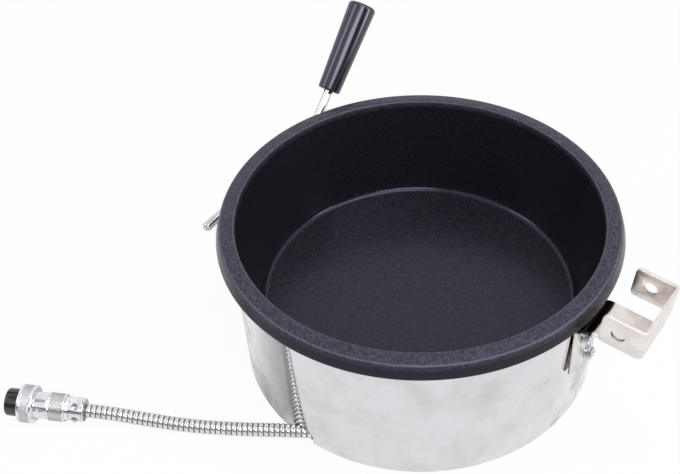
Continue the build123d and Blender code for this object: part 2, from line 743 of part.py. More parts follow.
with BuildPart() as wire_receptacles:
    for side in (-1, 1):
        outward = Vector(side, 0, 0)
        start = Plane(origin=(side * receptacle_start, 0, blade_height), x_dir=(0, 1, 0), z_dir=outward)
        with BuildSketch(start) as housing:
            Rectangle(receptacle_width, receptacle_height)
        extrude(housing.sketch, amount=blade_tip - receptacle_start)
        round_bar(Plane(origin=(side * blade_reach, 0, blade_height), z_dir=outward), sleeve_radius,
                  sleeve_length)
        with BuildSketch(start) as slot_section:
            Rectangle(blade_width + 2 * wire_gap, blade_sheet + 2 * wire_gap)
        extrude(slot_section.sketch, amount=blade_reach + wire_gap - receptacle_start,
                mode=Mode.SUBTRACT)
        round_bar(Plane(origin=(side * blade_tip, 0, blade_height), z_dir=outward),
                  wire_radius + wire_gap, sleeve_length, mode=Mode.SUBTRACT)
finish(wire_receptacles, "wire_receptacles")

with BuildPart() as earth_lug:
    with BuildSketch(Plane.XY.offset(lug_height - earth_lug_sheet / 2)):
        with Locations(earth_boss_at):
            Circle(earth_lug_radius)
            Rectangle(earth_lug_reach, earth_lug_width, align=(Align.MIN, Align.CENTER))
            Circle(m4_radius + bolt_gap, mode=Mode.SUBTRACT)
    extrude(amount=earth_lug_sheet)
    round_bar(Plane(origin=lug_end - Vector(1, 0, 0), z_dir=(1, 0, 0)), sleeve_radius,
              earth_lug_barrel)
    round_bar(Plane(origin=lug_end, z_dir=(1, 0, 0)), wire_radius + wire_gap, earth_lug_barrel,
              mode=Mode.SUBTRACT)
finish(earth_lug, "earth_lug")

with BuildPart() as earth_screw:
    seat = Vector(*earth_boss_at, lug_height - earth_lug_sheet / 2)
    round_bar(Plane(seat - up * pan_head_height), pan_head_radius, pan_head_height)
    round_bar(Plane(seat), m4_radius, earth_lug_sheet + earth_screw_grip)
finish(earth_screw, "earth_screw")


# ================================================================ hose
hose_bends = bend_radii(hose_points)
with BuildPart() as flexible_conduit:
    with BuildLine():
        hose_line = FilletPolyline(*hose_points, radius=hose_bends)
    hose_length = hose_line.length
    ribbed = hose_length - 2 * hose_plain_end
    rib_count = round(ribbed / rib_pitch)
    # four circles a rib: foot, crest, crest, foot
    rib_profile = ((-rib_crest / 2 - rib_flank, hose_root), (-rib_crest / 2, hose_radius),
                   (rib_crest / 2, hose_radius), (rib_crest / 2 + rib_flank, hose_root))
    stations = [(0, hose_root)]
    for rib in range(rib_count):
        middle = hose_plain_end + ribbed * (rib + 0.5) / rib_count
        stations += [(middle + offset * ribbed / rib_count, radius) for offset, radius in rib_profile]
    stations.append((hose_length, hose_root))
    circles = []
    for distance, radius in stations:
        place = distance / hose_length
        with BuildSketch(square_to(hose_line @ place, hose_line % place)) as circle:
            Circle(radius)
        circles.append(circle.sketch)
    loft(circles, ruled=True)
    with BuildSketch(square_to(entry, hose_out)) as bore:
        Circle(hose_bore)
    sweep(bore.sketch, path=hose_line, mode=Mode.SUBTRACT)
finish(flexible_conduit, "flexible_conduit")
print("hose: length", round(hose_length, 1), "ribs", rib_count, "bend radii",
      [round(radius) for radius in hose_bends])
print("hose: volume", round(flexible_conduit.part.volume), "plain tube",
      round(pi * (hose_root ** 2 - hose_bore ** 2) * hose_length), "tube over the crests",
      round(pi * (hose_radius ** 2 - hose_bore ** 2) * hose_length))


# ================================================================ hinge bracket and its fasteners
flange_middle = seat_radius + sheet / 2
flange_bottom = pot_height - flange_foot
sag = radians(bracket_sag)
bracket_out = Vector(cos(sag), 0, -sin(sag))
bracket_up = Vector(sin(sag), 0, cos(sag))
hinge_centre = Vector(hinge_axis_radius, 0, hinge_height)


def on_bracket(out, across, rise):
    """Point of the sagging bracket, from its hinge axis."""
    return hinge_centre + bracket_out * out + bracket_up * rise + Vector(0, across, 0)


web_middle = ear_back - sheet / 2
ear_offset = (ear_span - sheet) / 2
tongue_rise = -ear_height / 2 - tongue_drop - sheet / 2
tongue_inner = (flange_middle - hinge_axis_radius - tongue_rise * sin(sag)) / cos(sag)
with BuildPart() as hinge_bracket:
    strip([on_bracket(-ear_reach, -ear_offset, 0), on_bracket(web_middle, -ear_offset, 0),
           on_bracket(web_middle, ear_offset, 0), on_bracket(-ear_reach, ear_offset, 0)],
          ear_height, sheet, ear_bend - sheet / 2, bracket_up)
    free_corners = hinge_bracket.edges().filter_by(Axis.Y).group_by(Axis(hinge_centre, bracket_out))[0]
    fillet(free_corners, ear_corner)
    flange_corner_point = on_bracket(tongue_inner, tongue_aside, tongue_rise)
    strip([on_bracket(web_middle, tongue_aside, ear_corner - ear_height / 2),
           on_bracket(web_middle, tongue_aside, tongue_rise), flange_corner_point,
           Vector(flange_middle, tongue_aside, flange_bottom)],
          tongue_width, sheet, [tongue_bend - sheet / 2, flange_bend - sheet / 2], (0, 1, 0))
    foot_corners = hinge_bracket.edges().filter_by(Axis.X).group_by(Axis.Z)[0]
    fillet(foot_corners, flange_corner)
    round_bar(Plane(origin=(hinge_axis_radius, ear_span, hinge_height), z_dir=(0, -1, 0)),
              hinge_hole_radius, 2 * ear_span, mode=Mode.SUBTRACT)
    for across, drop in hinge_studs_at:
        round_bar(Plane(origin=(seat_radius + 2 * sheet, across, pot_height - drop), z_dir=(-1, 0, 0)),
                  m4_radius + bolt_gap, 3 * sheet, mode=Mode.SUBTRACT)
finish(hinge_bracket, "hinge_bracket")


def stud_set(side, studs_at, name):
    """Studs, washers and nuts that hold one bracket through the shell to the pot."""
    outward = Vector(side, 0, 0)
    face = seat_radius + sheet
    reach = face + m4_washer_sheet + m4_nut_height + m4_tail
    with BuildPart() as studs:
        for across, drop in studs_at:
            start = Vector(side * (pad_radius - stud_depth), across, pot_height - drop)
            round_bar(Plane(origin=start, z_dir=outward), m4_radius, reach - pad_radius + stud_depth)
    finish(studs, name + "_studs")
    with BuildPart() as washers:
        for across, drop in studs_at:
            seat = Plane(origin=(side * face, across, pot_height - drop), z_dir=outward)
            round_bar(seat, m4_washer_radius, m4_washer_sheet)
            round_bar(seat, m4_radius + bolt_gap, m4_washer_sheet, mode=Mode.SUBTRACT)
    finish(washers, name + "_washers")
    with BuildPart() as nuts:
        for across, drop in studs_at:
            seat = Plane(origin=(side * (face + m4_washer_sheet), across, pot_height - drop),
                         x_dir=(0, 1, 0), z_dir=outward)
            hex_bar(seat, m4_nut_flats, m4_nut_height)
            round_bar(seat, m4_radius + thread_gap, m4_nut_height, mode=Mode.SUBTRACT)
    finish(nuts, name + "_nuts")


stud_set(1, hinge_studs_at, "hinge")


# ================================================================ handle bracket, rod and grip
handle_ear_tip = -(rod_axis_radius + handle_ear_reach)
handle_web = -(seat_radius + sheet / 2)
handle_ear_offset = (handle_ear_span - sheet) / 2
with BuildPart() as handle_bracket:
    strip([Vector(handle_ear_tip, -handle_ear_offset, rod_height),
           Vector(handle_web, -handle_ear_offset, rod_height),
           Vector(handle_web, handle_ear_offset, rod_height),
           Vector(handle_ear_tip, handle_ear_offset, rod_height)],
          handle_ear_height, sheet, handle_ear_bend - sheet / 2, up)
    fillet(handle_bracket.edges().filter_by(Axis.Y).group_by(Axis.X)[0], ear_corner)
    with BuildSketch(Plane.YZ.offset(handle_web - sheet / 2)) as tongue:
        with Locations((0, flange_bottom)):
            Rectangle(tongue_width, rod_height - flange_bottom, align=(Align.CENTER, Align.MIN))
    extrude(tongue.sketch, amount=sheet)
    fillet(handle_bracket.edges().filter_by(Axis.X).group_by(Axis.Z)[0], flange_corner)
    round_bar(Plane(origin=(-rod_axis_radius, handle_ear_span, rod_height), z_dir=(0, -1, 0)),
              rod_radius + rod_hole_gap, 2 * handle_ear_span, mode=Mode.SUBTRACT)
    for across, drop in handle_studs_at:
        round_bar(Plane(origin=(-seat_radius - 2 * sheet, across, pot_height - drop), z_dir=(1, 0, 0)),
                  m4_radius + bolt_gap, 3 * sheet, mode=Mode.SUBTRACT)
finish(handle_bracket, "handle_bracket")
stud_set(-1, handle_studs_at, "handle")

bend_corner = Vector(-rod_axis_radius, rod_bend_at, rod_height)
arm = Vector(0, cos(radians(rod_rise)), sin(radians(rod_rise)))
with BuildPart() as handle_rod:
    rod_start = Vector(-rod_axis_radius, -rod_tip, rod_height)
    with BuildLine() as rod_line:
        FilletPolyline(rod_start, bend_corner, bend_corner + arm * rod_arm, radius=rod_bend_radius)
    with BuildSketch(Plane(origin=rod_start, z_dir=(0, 1, 0))) as bar:
        Circle(rod_radius)
    sweep(bar.sketch, path=rod_line.line)
    chamfer(handle_rod.edges().filter_by(GeomType.CIRCLE).sort_by(Axis.Y)[0], rod_tip_chamfer)
finish(handle_rod, "handle_rod")

grip_foot = bend_corner + arm * grip_start
grip_plane = along(grip_foot, arm)
grip_axis = Axis(grip_foot, arm)
insert_bore = insert_radius + insert_gap
insert_end = grip_recess_depth + insert_length
arm_end = rod_arm - grip_start + insert_gap
with BuildPart() as handle_grip:
    turned([(0, 0, 0), (grip_foot_radius, 0, grip_foot_edge),
            (grip_head_radius, grip_length, grip_head_edge), (0, grip_length, 0)],
           grip_plane, grip_axis)
    turned([(0, -1, 0), (grip_recess_radius, -1, 0), (grip_recess_radius, grip_recess_depth, 0),
            (insert_bore, grip_recess_depth, 0), (insert_bore, insert_end, 0),
            (rod_radius + insert_gap, insert_end, 0), (rod_radius + insert_gap, arm_end, 0),
            (0, arm_end, 0)], grip_plane, grip_axis, mode=Mode.SUBTRACT)
finish(handle_grip, "handle_grip")

with BuildPart() as grip_insert:
    turned([(rod_radius + insert_gap, grip_recess_depth, 0), (insert_radius, grip_recess_depth, 0),
            (insert_radius, insert_end, 0), (rod_radius + insert_gap, insert_end, 0)],
           grip_plane, grip_axis)
finish(grip_insert, "grip_insert")


# ================================================================ plug
plug_side = along(plug_tail_point, plug_forward)
plug_axis = Axis(plug_tail_point, plug_forward)


def plug_at(distance):
    """Plane across the plug at a distance in front of its tail."""
    return square_to(plug_tail_point + plug_forward * distance, plug_forward)


saddle_up = square_to(plug_tail_point, plug_forward).from_local_coords(
    Vector(cos(radians(saddle_angle)), sin(radians(saddle_angle)), 0)) - plug_tail_point
saddle_plane = Plane(origin=plug_tail_point, x_dir=saddle_up.cross(plug_forward), z_dir=saddle_up)
saddle_rear = saddle_end
saddle_front = saddle_rear + saddle_length
screw_distance = (saddle_rear + saddle_front) / 2
thread_bore = barrel_thread_radius + thread_gap
thread_end = sleeve_front - barrel_thread_length - 0.5


def across_saddle(sideways, distance, height):
    """Plane square to the saddle's screws, at a place beside the axis and along it."""
    point = plug_tail_point + saddle_up * height + plug_forward * distance
    return Plane(origin=point + saddle_plane.x_dir * sideways, z_dir=saddle_up)


with BuildPart() as plug_tail:
    turned([(tail_cable_bore, 0, 0), (clamp_radius, 0, tail_edge), (clamp_radius, clamp_length, 0),
            (tail_radius, clamp_length, tail_edge), (tail_radius, sleeve_front, tail_edge),
            (thread_bore, sleeve_front, 0), (thread_bore, thread_end, 0), (tail_cable_bore, thread_end, 0)],
           plug_side, plug_axis)
    # bed of the saddle
    with BuildSketch(plug_at(saddle_rear - saddle_gap / 2)) as bed:
        with Locations(Location((0, 0, 0), (0, 0, saddle_angle))):
            with Locations((saddle_split, 0)):
                Rectangle(2 * clamp_radius, 3 * clamp_radius, align=(Align.MIN, Align.CENTER))
    extrude(bed.sketch, amount=saddle_length + saddle_gap, mode=Mode.SUBTRACT)
    for side in (-1, 1):
        round_bar(across_saddle(side * saddle_screw_offset, screw_distance, -saddle_screw_depth),
                  saddle_screw_radius + thread_gap, 2 * clamp_radius, mode=Mode.SUBTRACT)
finish(plug_tail, "plug_tail")

with BuildPart() as cable_saddle:
    turned([(tail_cable_bore, saddle_rear, 0), (clamp_radius, saddle_rear, 0),
            (clamp_radius, saddle_front, 0), (tail_cable_bore, saddle_front, 0)], plug_side, plug_axis)
    with BuildSketch(plug_at(0)) as kept:
        with Locations(Location((0, 0, 0), (0, 0, saddle_angle))):
            with Locations((saddle_split + saddle_gap, 0)):
                Rectangle(2 * clamp_radius, 3 * clamp_radius, align=(Align.MIN, Align.CENTER))
    extrude(kept.sketch, amount=saddle_front + 1, mode=Mode.INTERSECT)
    for side in (-1, 1):
        round_bar(across_saddle(side * saddle_screw_offset, screw_distance, 0),
                  saddle_screw_radius + bolt_gap, 2 * clamp_radius, mode=Mode.SUBTRACT)
        round_bar(across_saddle(side * saddle_screw_offset, screw_distance, saddle_flat),
                  saddle_head_radius + bolt_gap, clamp_radius, mode=Mode.SUBTRACT)
finish(cable_saddle, "cable_saddle")

with BuildPart() as saddle_screws:
    for side in (-1, 1):
        round_bar(across_saddle(side * saddle_screw_offset, screw_distance, saddle_flat),
                  saddle_head_radius, saddle_head_height)
        round_bar(across_saddle(side * saddle_screw_offset, screw_distance, -saddle_screw_depth + 0.5),
                  saddle_screw_radius, saddle_flat + saddle_screw_depth - 0.5)
finish(saddle_screws, "saddle_screws")

with BuildPart() as plug_barrel:
    turned([(barrel_bore, sleeve_front - barrel_thread_length, 0),
            (barrel_thread_radius, sleeve_front - barrel_thread_length, 0.4),
            (barrel_thread_radius, sleeve_front, 0), (barrel_radius, sleeve_front, 0.3),
            (barrel_radius, flange_back, 0), (barrel_flange_radius, flange_back, 0.3),
            (barrel_flange_radius, barrel_front, 0), (barrel_bore, barrel_front, 0)],
           plug_side, plug_axis)
    grub_plane = Plane(origin=plug_at(sleeve_front + grub_position).origin, z_dir=saddle_up)
    round_bar(grub_plane, grub_radius + thread_gap, 2 * barrel_radius, mode=Mode.SUBTRACT)
finish(plug_barrel, "plug_barrel")

stub_radius = barrel_bore - insulator_stub_gap
stub_rear = barrel_front - insulator_stub_length
insulator_front = barrel_front + insulator_length
contact_front = insulator_front - contact_recess
contact_back = stub_rear - contact_rear
contact_angles = [saddle_angle + 180 + 360 * i / contact_count for i in range(contact_count)]
with BuildPart() as plug_insulator:
    turned([(0, stub_rear, 0), (stub_radius, stub_rear, 0), (stub_radius, barrel_front, 0),
            (insulator_radius, barrel_front, 0), (insulator_radius, insulator_front, insulator_edge),
            (0, insulator_front, 0)], plug_side, plug_axis)
    with BuildSketch(plug_at(stub_rear - 1)) as holes:
        for angle in contact_angles:
            with Locations(polar(contact_circle, angle)):
                Circle(contact_radius + insert_gap)
    extrude(holes.sketch, amount=insulator_front - stub_rear + 2, mode=Mode.SUBTRACT)
    with BuildSketch(plug_at(barrel_front + 1.5)) as keyway:
        with Locations((0, insulator_radius)):
            Rectangle(key_width, 2 * key_depth)
    extrude(keyway.sketch, amount=insulator_length, mode=Mode.SUBTRACT)
    round_bar(Plane(origin=grub_plane.origin + saddle_up * grub_seat, z_dir=saddle_up),
              grub_radius + thread_gap, barrel_radius, mode=Mode.SUBTRACT)
finish(plug_insulator, "plug_insulator")

with BuildPart() as plug_contacts:
    with BuildSketch(plug_at(contact_back)) as pins:
        for angle in contact_angles:
            with Locations(polar(contact_circle, angle)):
                Circle(contact_radius)
    extrude(pins.sketch, amount=contact_front - contact_back)
    with BuildSketch(plug_at(contact_front - contact_socket_depth)) as sockets:
        for angle in contact_angles:
            with Locations(polar(contact_circle, angle)):
                Circle(contact_socket_radius)
    extrude(sockets.sketch, amount=contact_socket_depth + 1, mode=Mode.SUBTRACT)
finish(plug_contacts, "plug_contacts")

with BuildPart() as insulator_set_screw:
    round_bar(Plane(origin=grub_plane.origin + saddle_up * (grub_seat + 0.1), z_dir=saddle_up),
              grub_radius, barrel_radius - grub_seat - 0.3)
finish(insulator_set_screw, "insulator_set_screw")

ring_front = ring_rear + ring_length
lip_front = ring_rear + ring_lip
with BuildPart() as coupling_ring:
    turned([(barrel_radius + ring_slide_gap, ring_rear, 0), (ring_radius, ring_rear, ring_edge),
            (ring_radius, ring_front, ring_edge), (ring_bore, ring_front, 0), (ring_bore, lip_front, 0),
            (barrel_radius + ring_slide_gap, lip_front, 0)], plug_side, plug_axis)
finish(coupling_ring, "coupling_ring")

with BuildPart() as ring_retainer:
    clip_rear = lip_front + retainer_gap
    turned([(barrel_radius + ring_slide_gap, clip_rear, 0), (ring_bore - retainer_gap, clip_rear, 0),
            (ring_bore - retainer_gap, clip_rear + retainer_sheet, 0),
            (barrel_radius + ring_slide_gap, clip_rear + retainer_sheet, 0)], plug_side, plug_axis)
finish(ring_retainer, "ring_retainer")

ring_drop = ring_radius * sin(radians(plug_forward.get_angle(up)))
ring_lowest = (plug_tail_point + plug_forward * ring_rear).Z - ring_drop
print("plug: axis from", [round(c, 3) for c in plug_tail_point], "along",
      [round(c, 6) for c in plug_forward])
print("ring: middle", round((ring_rear + ring_front) / 2, 2), "slides forward", round(ring_slide_forward, 2),
      "back", round(ring_slide_back, 2), "lowest", round(ring_lowest, 3))
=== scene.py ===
"""Electric kettle of a popcorn machine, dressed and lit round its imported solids."""

import math

import bmesh
import bpy
from mathutils import Matrix, Quaternion, Vector


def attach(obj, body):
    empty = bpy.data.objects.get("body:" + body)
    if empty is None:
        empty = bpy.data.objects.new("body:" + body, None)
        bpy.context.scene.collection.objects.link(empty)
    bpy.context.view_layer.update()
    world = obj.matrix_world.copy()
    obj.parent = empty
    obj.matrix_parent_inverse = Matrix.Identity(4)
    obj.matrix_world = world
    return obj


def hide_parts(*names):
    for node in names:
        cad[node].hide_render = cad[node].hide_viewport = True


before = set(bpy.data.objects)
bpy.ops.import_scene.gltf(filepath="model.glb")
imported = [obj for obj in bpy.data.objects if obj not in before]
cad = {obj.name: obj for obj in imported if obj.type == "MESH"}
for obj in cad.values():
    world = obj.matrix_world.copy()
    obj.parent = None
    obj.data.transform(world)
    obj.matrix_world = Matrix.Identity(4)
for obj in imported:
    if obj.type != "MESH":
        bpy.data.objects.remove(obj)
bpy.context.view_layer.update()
scene = bpy.context.scene

MM = 0.001
UP = Vector((0, 0, 1))

# ------------------------------------------------------------------ sizes, millimetres
pot_height = 103.0
pot_floor = 37.0
pot_underside = 32.0
mouth_radius = 108.2
pot_floor_radius = 97.0
rim_radius = 120.0
rim_top_radius = 117.4
rim_edge_height = 102.0
rim_inner_radius = 115.8
rim_foot = 93.6
rim_under = 98.2
pot_wall_foot = 99.15
pot_wall_top = 110.39
shell_foot_radius = 109.986
shell_top_radius = 111.586
shell_wall = 0.8
round_steps = 224          # faces round the pot and its shell

# hose, and the slot in the shell's foot that it passes
hose_radius = 4.2
hose_root = 3.75
hose_bore = 3.0
hose_rib_pitch = 3.2
hose_plain_end = 0.6
hose_slot_radius = 4.7
hose_slot_length = 60.0
hose_slot_middle = 25.0    # from the hose's first point
hose_slot_drop = 12.0      # the slot runs out through the shell's lower edge

# hose route, ferrule to plug, the same corners as the solid's
hose_route = [(0.3, -102.7, 5.6), (-20.4, -114.9, 5.6), (-45.0, -129.2, 4.4), (-72.0, -144.0, 4.3),
              (-97.0, -154.6, 4.6), (-115.41, -164.42, 7.85), (-128.75, -171.81, 9.1)]

# plug, along its axis from the hose's last point
plug_tail = Vector(hose_route[-1])
plug_forward = (Vector(hose_route[-1]) - Vector(hose_route[-2])).normalized()
clamp_length = 11.4
sleeve_front = 22.5
sleeve_radius = 8.6
sleeve_bore = 7.28
wire_passage = 3.0
ring_rear = 30.3
ring_front = 39.7
ring_radius = 11.6
ring_bore = 9.5
ring_lip = 2.0
ring_lip_radius = 8.06
# diamond knurl of the sleeve and the ring, drawn about twice as coarse as the real one so that it stays sharp
knurl_pitch = 1.9
knurl_depth = 0.42
sleeve_plain_end = 1.0
ring_plain_end = 1.6

# hinge bracket: its flange is rolled below this height, and a pin passes through its ears
flange_top = 82.0
flange_blend = 8.0
flange_radius = 111.5
hinge_axis = Vector((137.1, 0, 98.2))

# handle rod: corner of its bend and the direction of its rising arm
bend_corner = Vector((-118.94, 50.5, 76.0))
arm = Vector((0, math.cos(math.radians(45)), math.sin(math.radians(45))))
grip_start = 33.2
grip_length = 61.5
grip_foot_radius = 7.6
grip_top_radius = 9.5
grip_recess = 3.0
grip_recess_radius = 4.6

# where finishes, painted shade and painted highlights change: two heights, radii or distances, millimetres
rim_top_heights = (98.5, 101.8)
rim_face_shade_radii = (117.6, 118.4)
wall_foot_heights = (38.0, 44.0)
floor_corner_starts = (37.0, 37.4)
floor_corner_ends = (40.5, 43.0)
edge_highlight_radii = {116.8: 0.6, 108.6: 0.4}     # radii of painted highlights along the rim's edges, and how strong each is
edge_highlight_width = (0.1, 0.6)
# painted shade and reflection of the rim on the hinge bracket's tongue, and a painted shadow behind its
# flange
rim_shade_radii = (122.2, 123.2)
rim_shade_heights = (78.0, 80.0)
flange_back_shadow_radii = (111.9, 112.2)
torn_wall_radii = (4.02, 4.12)
straw_tint_lengths = (138.0, 152.0)
far_ear_sides = (18.0, 18.5)

# the white paper that the shell mirrors: a painted grey shadow on it before the pot, from the paper's middle,
# millimetres
painted_shadow_direction = (-0.467, 0.884, 0)
painted_shadow_near_edge = (-96.5, -92.5)
painted_shadow_fade = (-92.0, -30.0)
painted_shadow_right_end = (-45.0, -15.0)


# ------------------------------------------------------------------ materials
COLOURS = {"data_type": "RGBA"}
PRODUCT = {"operation": "MULTIPLY"}
PRODUCT_AND_SUM = {"operation": "MULTIPLY_ADD"}
LARGER = {"operation": "MAXIMUM"}
WHITE = (1, 1, 1, 1)


def linear(colour):
    """sRGB hex colour as a linear one."""
    shares = [int(colour[i:i + 2], 16) / 255 for i in (1, 3, 5)]
    return [c / 12.92 if c <= 0.04045 else ((c + 0.055) / 1.055) ** 2.4 for c in shares] + [1.0]


def add(tree, kind, settings=None, **inputs):
    """A node with its settings and links.

    An input takes a value, a socket, or a node for its first output in use. It goes by its name, or by i and
    its number where names repeat.
    """
    node = tree.nodes.new(kind)
    for name, value in (settings or {}).items():
        setattr(node, name, value)
    for name, value in inputs.items():
        key = int(name[1:]) if name[0] == "i" and name[1:].isdigit() else name.replace("_", " ")
        if isinstance(value, bpy.types.Node):
            value = next(socket for socket in value.outputs if socket.enabled)
        if isinstance(value, bpy.types.NodeSocket):
            tree.links.new(value, node.inputs[key])
        else:
            node.inputs[key].default_value = value
    return node


def between(low, high):
    """Inputs of a Map Range that goes from one place to another, in millimetres."""
    return {"From_Min": low * MM, "From_Max": high * MM}


def blotches(size, detail=2.0, roughness=0.5):
    """Inputs of a Noise Texture whose blotches are about that many millimetres across."""
    return {"Scale": 1 / (size * MM), "Detail": detail, "Roughness": roughness}


def start_material(name):
    """An empty material with its tree and the object coordinates."""
    material = bpy.data.materials.new(name)
    material.use_nodes = True
    tree = material.node_tree
    tree.nodes.clear()
    place = add(tree, "ShaderNodeTexCoord").outputs["Object"]
    return material, tree, place


def close_material(tree, **inputs):
    """The surface shader and the output."""
    shader = add(tree, "ShaderNodeBsdfPrincipled", **inputs)
    add(tree, "ShaderNodeOutputMaterial", Surface=shader)


def axis_distance(tree, place):
    """Distance from the pot's axis."""
    level = add(tree, "ShaderNodeVectorMath", PRODUCT, i0=place, i1=(1, 1, 0))
    return add(tree, "ShaderNodeVectorMath", {"operation": "LENGTH"}, i0=level)


def clouded(tree, place, size, low, high, turn_low=0.35, turn_high=0.65, detail=2.0):
    """Two close colours that turn into each other in soft clouds."""
    cloud = add(tree, "ShaderNodeTexNoise", Vector=place, **blotches(size, detail))
    share = add(tree, "ShaderNodeMapRange", Value=cloud, From_Min=turn_low, From_Max=turn_high)
    return add(tree, "ShaderNodeMix", COLOURS, Factor=share, i6=linear(low), i7=linear(high))


def drawn_lines(tree, place, size, stretch):
    """Fine marks of drawing or grinding: their pattern, and the bump that they make."""
    stretched = add(tree, "ShaderNodeMapping", Vector=place, Scale=stretch)
    lines = add(tree, "ShaderNodeTexNoise", Vector=stretched, **blotches(size, 2.0, 0.6))
    bump = add(tree, "ShaderNodeBump", Height=lines, Strength=0.06, Distance=0.03 * MM)
    return lines, bump


def coated_cast_aluminium():
    """Sprayed non-stick coat on a casting: black and smooth inside, a sandy violet grey on the rim's top."""
    material, tree, place = start_material("nonstick_coat_on_cast_aluminium")
    height = add(tree, "ShaderNodeSeparateXYZ", Vector=place).outputs["Z"]
    radius = axis_distance(tree, place)
    rim = add(tree, "ShaderNodeMapRange", Value=height, **between(*rim_top_heights))
    grain = add(tree, "ShaderNodeTexNoise", Vector=place, **blotches(1.5, 3.0, 0.7))
    sand = add(tree, "ShaderNodeMapRange", Value=grain, From_Min=0.42, From_Max=0.66)
    # inside, the sand shows on the floor and fades on the wall
    fading = add(tree, "ShaderNodeMapRange", Value=height, **between(*wall_foot_heights), To_Min=1.0,
                 To_Max=0.3)
    sand_inside = add(tree, "ShaderNodeMath", PRODUCT, i0=sand, i1=fading)
    inside = add(tree, "ShaderNodeMix", COLOURS, Factor=sand_inside, i6=linear("#131317"),
                 i7=linear("#292933"))
    # painted shade: the rim's outer face is darker than the coat inside
    rim_face_shade = add(tree, "ShaderNodeMapRange", Value=radius, **between(*rim_face_shade_radii))
    lower = add(tree, "ShaderNodeMix", COLOURS, Factor=rim_face_shade, i6=inside, i7=linear("#0c0c0b"))
    top = add(tree, "ShaderNodeMix", COLOURS, Factor=sand, i6=linear("#1e1e26"), i7=linear("#46454f"))
    colour = add(tree, "ShaderNodeMix", COLOURS, Factor=rim, i6=lower, i7=top)
    # painted highlights: pale lines along the rim's two edges
    for edge, share in edge_highlight_radii.items():
        off = add(tree, "ShaderNodeMath", {"operation": "SUBTRACT"}, i0=radius, i1=edge * MM)
        off = add(tree, "ShaderNodeMath", {"operation": "ABSOLUTE"}, i0=off)
        highlight = add(tree, "ShaderNodeMapRange", Value=off, **between(*edge_highlight_width), To_Min=share, To_Max=0)
        highlight = add(tree, "ShaderNodeMath", PRODUCT, i0=highlight, i1=rim)
        colour = add(tree, "ShaderNodeMix", COLOURS, Factor=highlight, i6=colour, i7=linear("#65646f"))
    relief = add(tree, "ShaderNodeMapRange", Value=rim, To_Min=0.2, To_Max=1.0)
    swell = add(tree, "ShaderNodeMath", PRODUCT, i0=grain, i1=relief)
    bump = add(tree, "ShaderNodeBump", Height=swell, Strength=0.35, Distance=0.12 * MM)
    # the corner round the floor is glossier, and the rim's top is duller
    corner_start = add(tree, "ShaderNodeMapRange", Value=height, **between(*floor_corner_starts))
    corner_end = add(tree, "ShaderNodeMapRange", Value=height, **between(*floor_corner_ends), To_Min=1,
                     To_Max=0)
    corner = add(tree, "ShaderNodeMath", PRODUCT, i0=corner_start, i1=corner_end)
    dull = add(tree, "ShaderNodeMapRange", Value=rim, To_Min=0.27, To_Max=0.42)
    rough = add(tree, "ShaderNodeMath", PRODUCT_AND_SUM, i0=corner, i1=-0.13, i2=dull)
    close_material(tree, Base_Color=colour, Roughness=rough, Normal=bump, Specular_IOR_Level=0.42,
                   Specular_Tint=linear("#dcd8ff"))
    return material


def polished_stainless():
    """Deep drawn stainless, polished then handled: bright, with cloudy smears in its gloss."""
    material, tree, place = start_material("polished_stainless_sheet")
    smear = add(tree, "ShaderNodeTexNoise", Vector=place, **blotches(24, 4.0, 0.6))
    smear = add(tree, "ShaderNodeMapRange", Value=smear, From_Min=0.44, From_Max=0.70)
    fine = add(tree, "ShaderNodeTexNoise", Vector=place, **blotches(5))
    fine = add(tree, "ShaderNodeMapRange", Value=fine, From_Min=0.3, From_Max=0.7)
    colour = add(tree, "ShaderNodeMix", COLOURS, Factor=smear, i6=linear("#dcdade"), i7=linear("#cdcacc"))
    rough = add(tree, "ShaderNodeMath", PRODUCT_AND_SUM, i0=smear, i1=0.10, i2=0.05)
    rough = add(tree, "ShaderNodeMath", PRODUCT_AND_SUM, i0=fine, i1=0.02, i2=rough)
    upright = add(tree, "ShaderNodeMapping", Vector=place, Scale=(1, 1, 0.35))
    wave = add(tree, "ShaderNodeTexNoise", Vector=upright, **blotches(40, 1.0))
    bump = add(tree, "ShaderNodeBump", Height=wave, Strength=0.15, Distance=0.4 * MM)
    close_material(tree, Base_Color=colour, Metallic=1.0, Roughness=rough, Normal=bump)
    return material


def plated_steel(name, low, high, rough, grain_size, stretch=(1, 1, 1)):
    """Plated, turned or ground metal with fine marks, which a stretch draws out one way."""
    material, tree, place = start_material(name)
    lines, bump = drawn_lines(tree, place, grain_size, stretch)
    roughness = add(tree, "ShaderNodeMapRange", Value=lines, From_Min=0.3, From_Max=0.7, To_Min=rough * 0.8,
                    To_Max=rough * 1.25)
    close_material(tree, Base_Color=clouded(tree, place, 9, low, high), Metallic=1.0, Roughness=roughness,
                   Normal=bump)
    return material


def moulded(name, low, high, rough, grain_size, gloss=0.5, depth=0.03, sheen="#ffffff"):
    """A moulded, fired or extruded finish with a faint uneven skin."""
    material, tree, place = start_material(name)
    colour = clouded(tree, place, grain_size * 6, low, high, 0.3, 0.7, 3.0)
    grain = add(tree, "ShaderNodeTexNoise", Vector=place, **blotches(grain_size))
    roughness = add(tree, "ShaderNodeMapRange", Value=grain, From_Min=0.3, From_Max=0.7, To_Min=rough * 0.85,
                    To_Max=rough * 1.2)
    bump = add(tree, "ShaderNodeBump", Height=grain, Strength=0.25, Distance=depth * MM)
    close_material(tree, Base_Color=colour, Roughness=roughness, Normal=bump, Specular_IOR_Level=gloss,
                   Specular_Tint=linear(sheen))
    return material


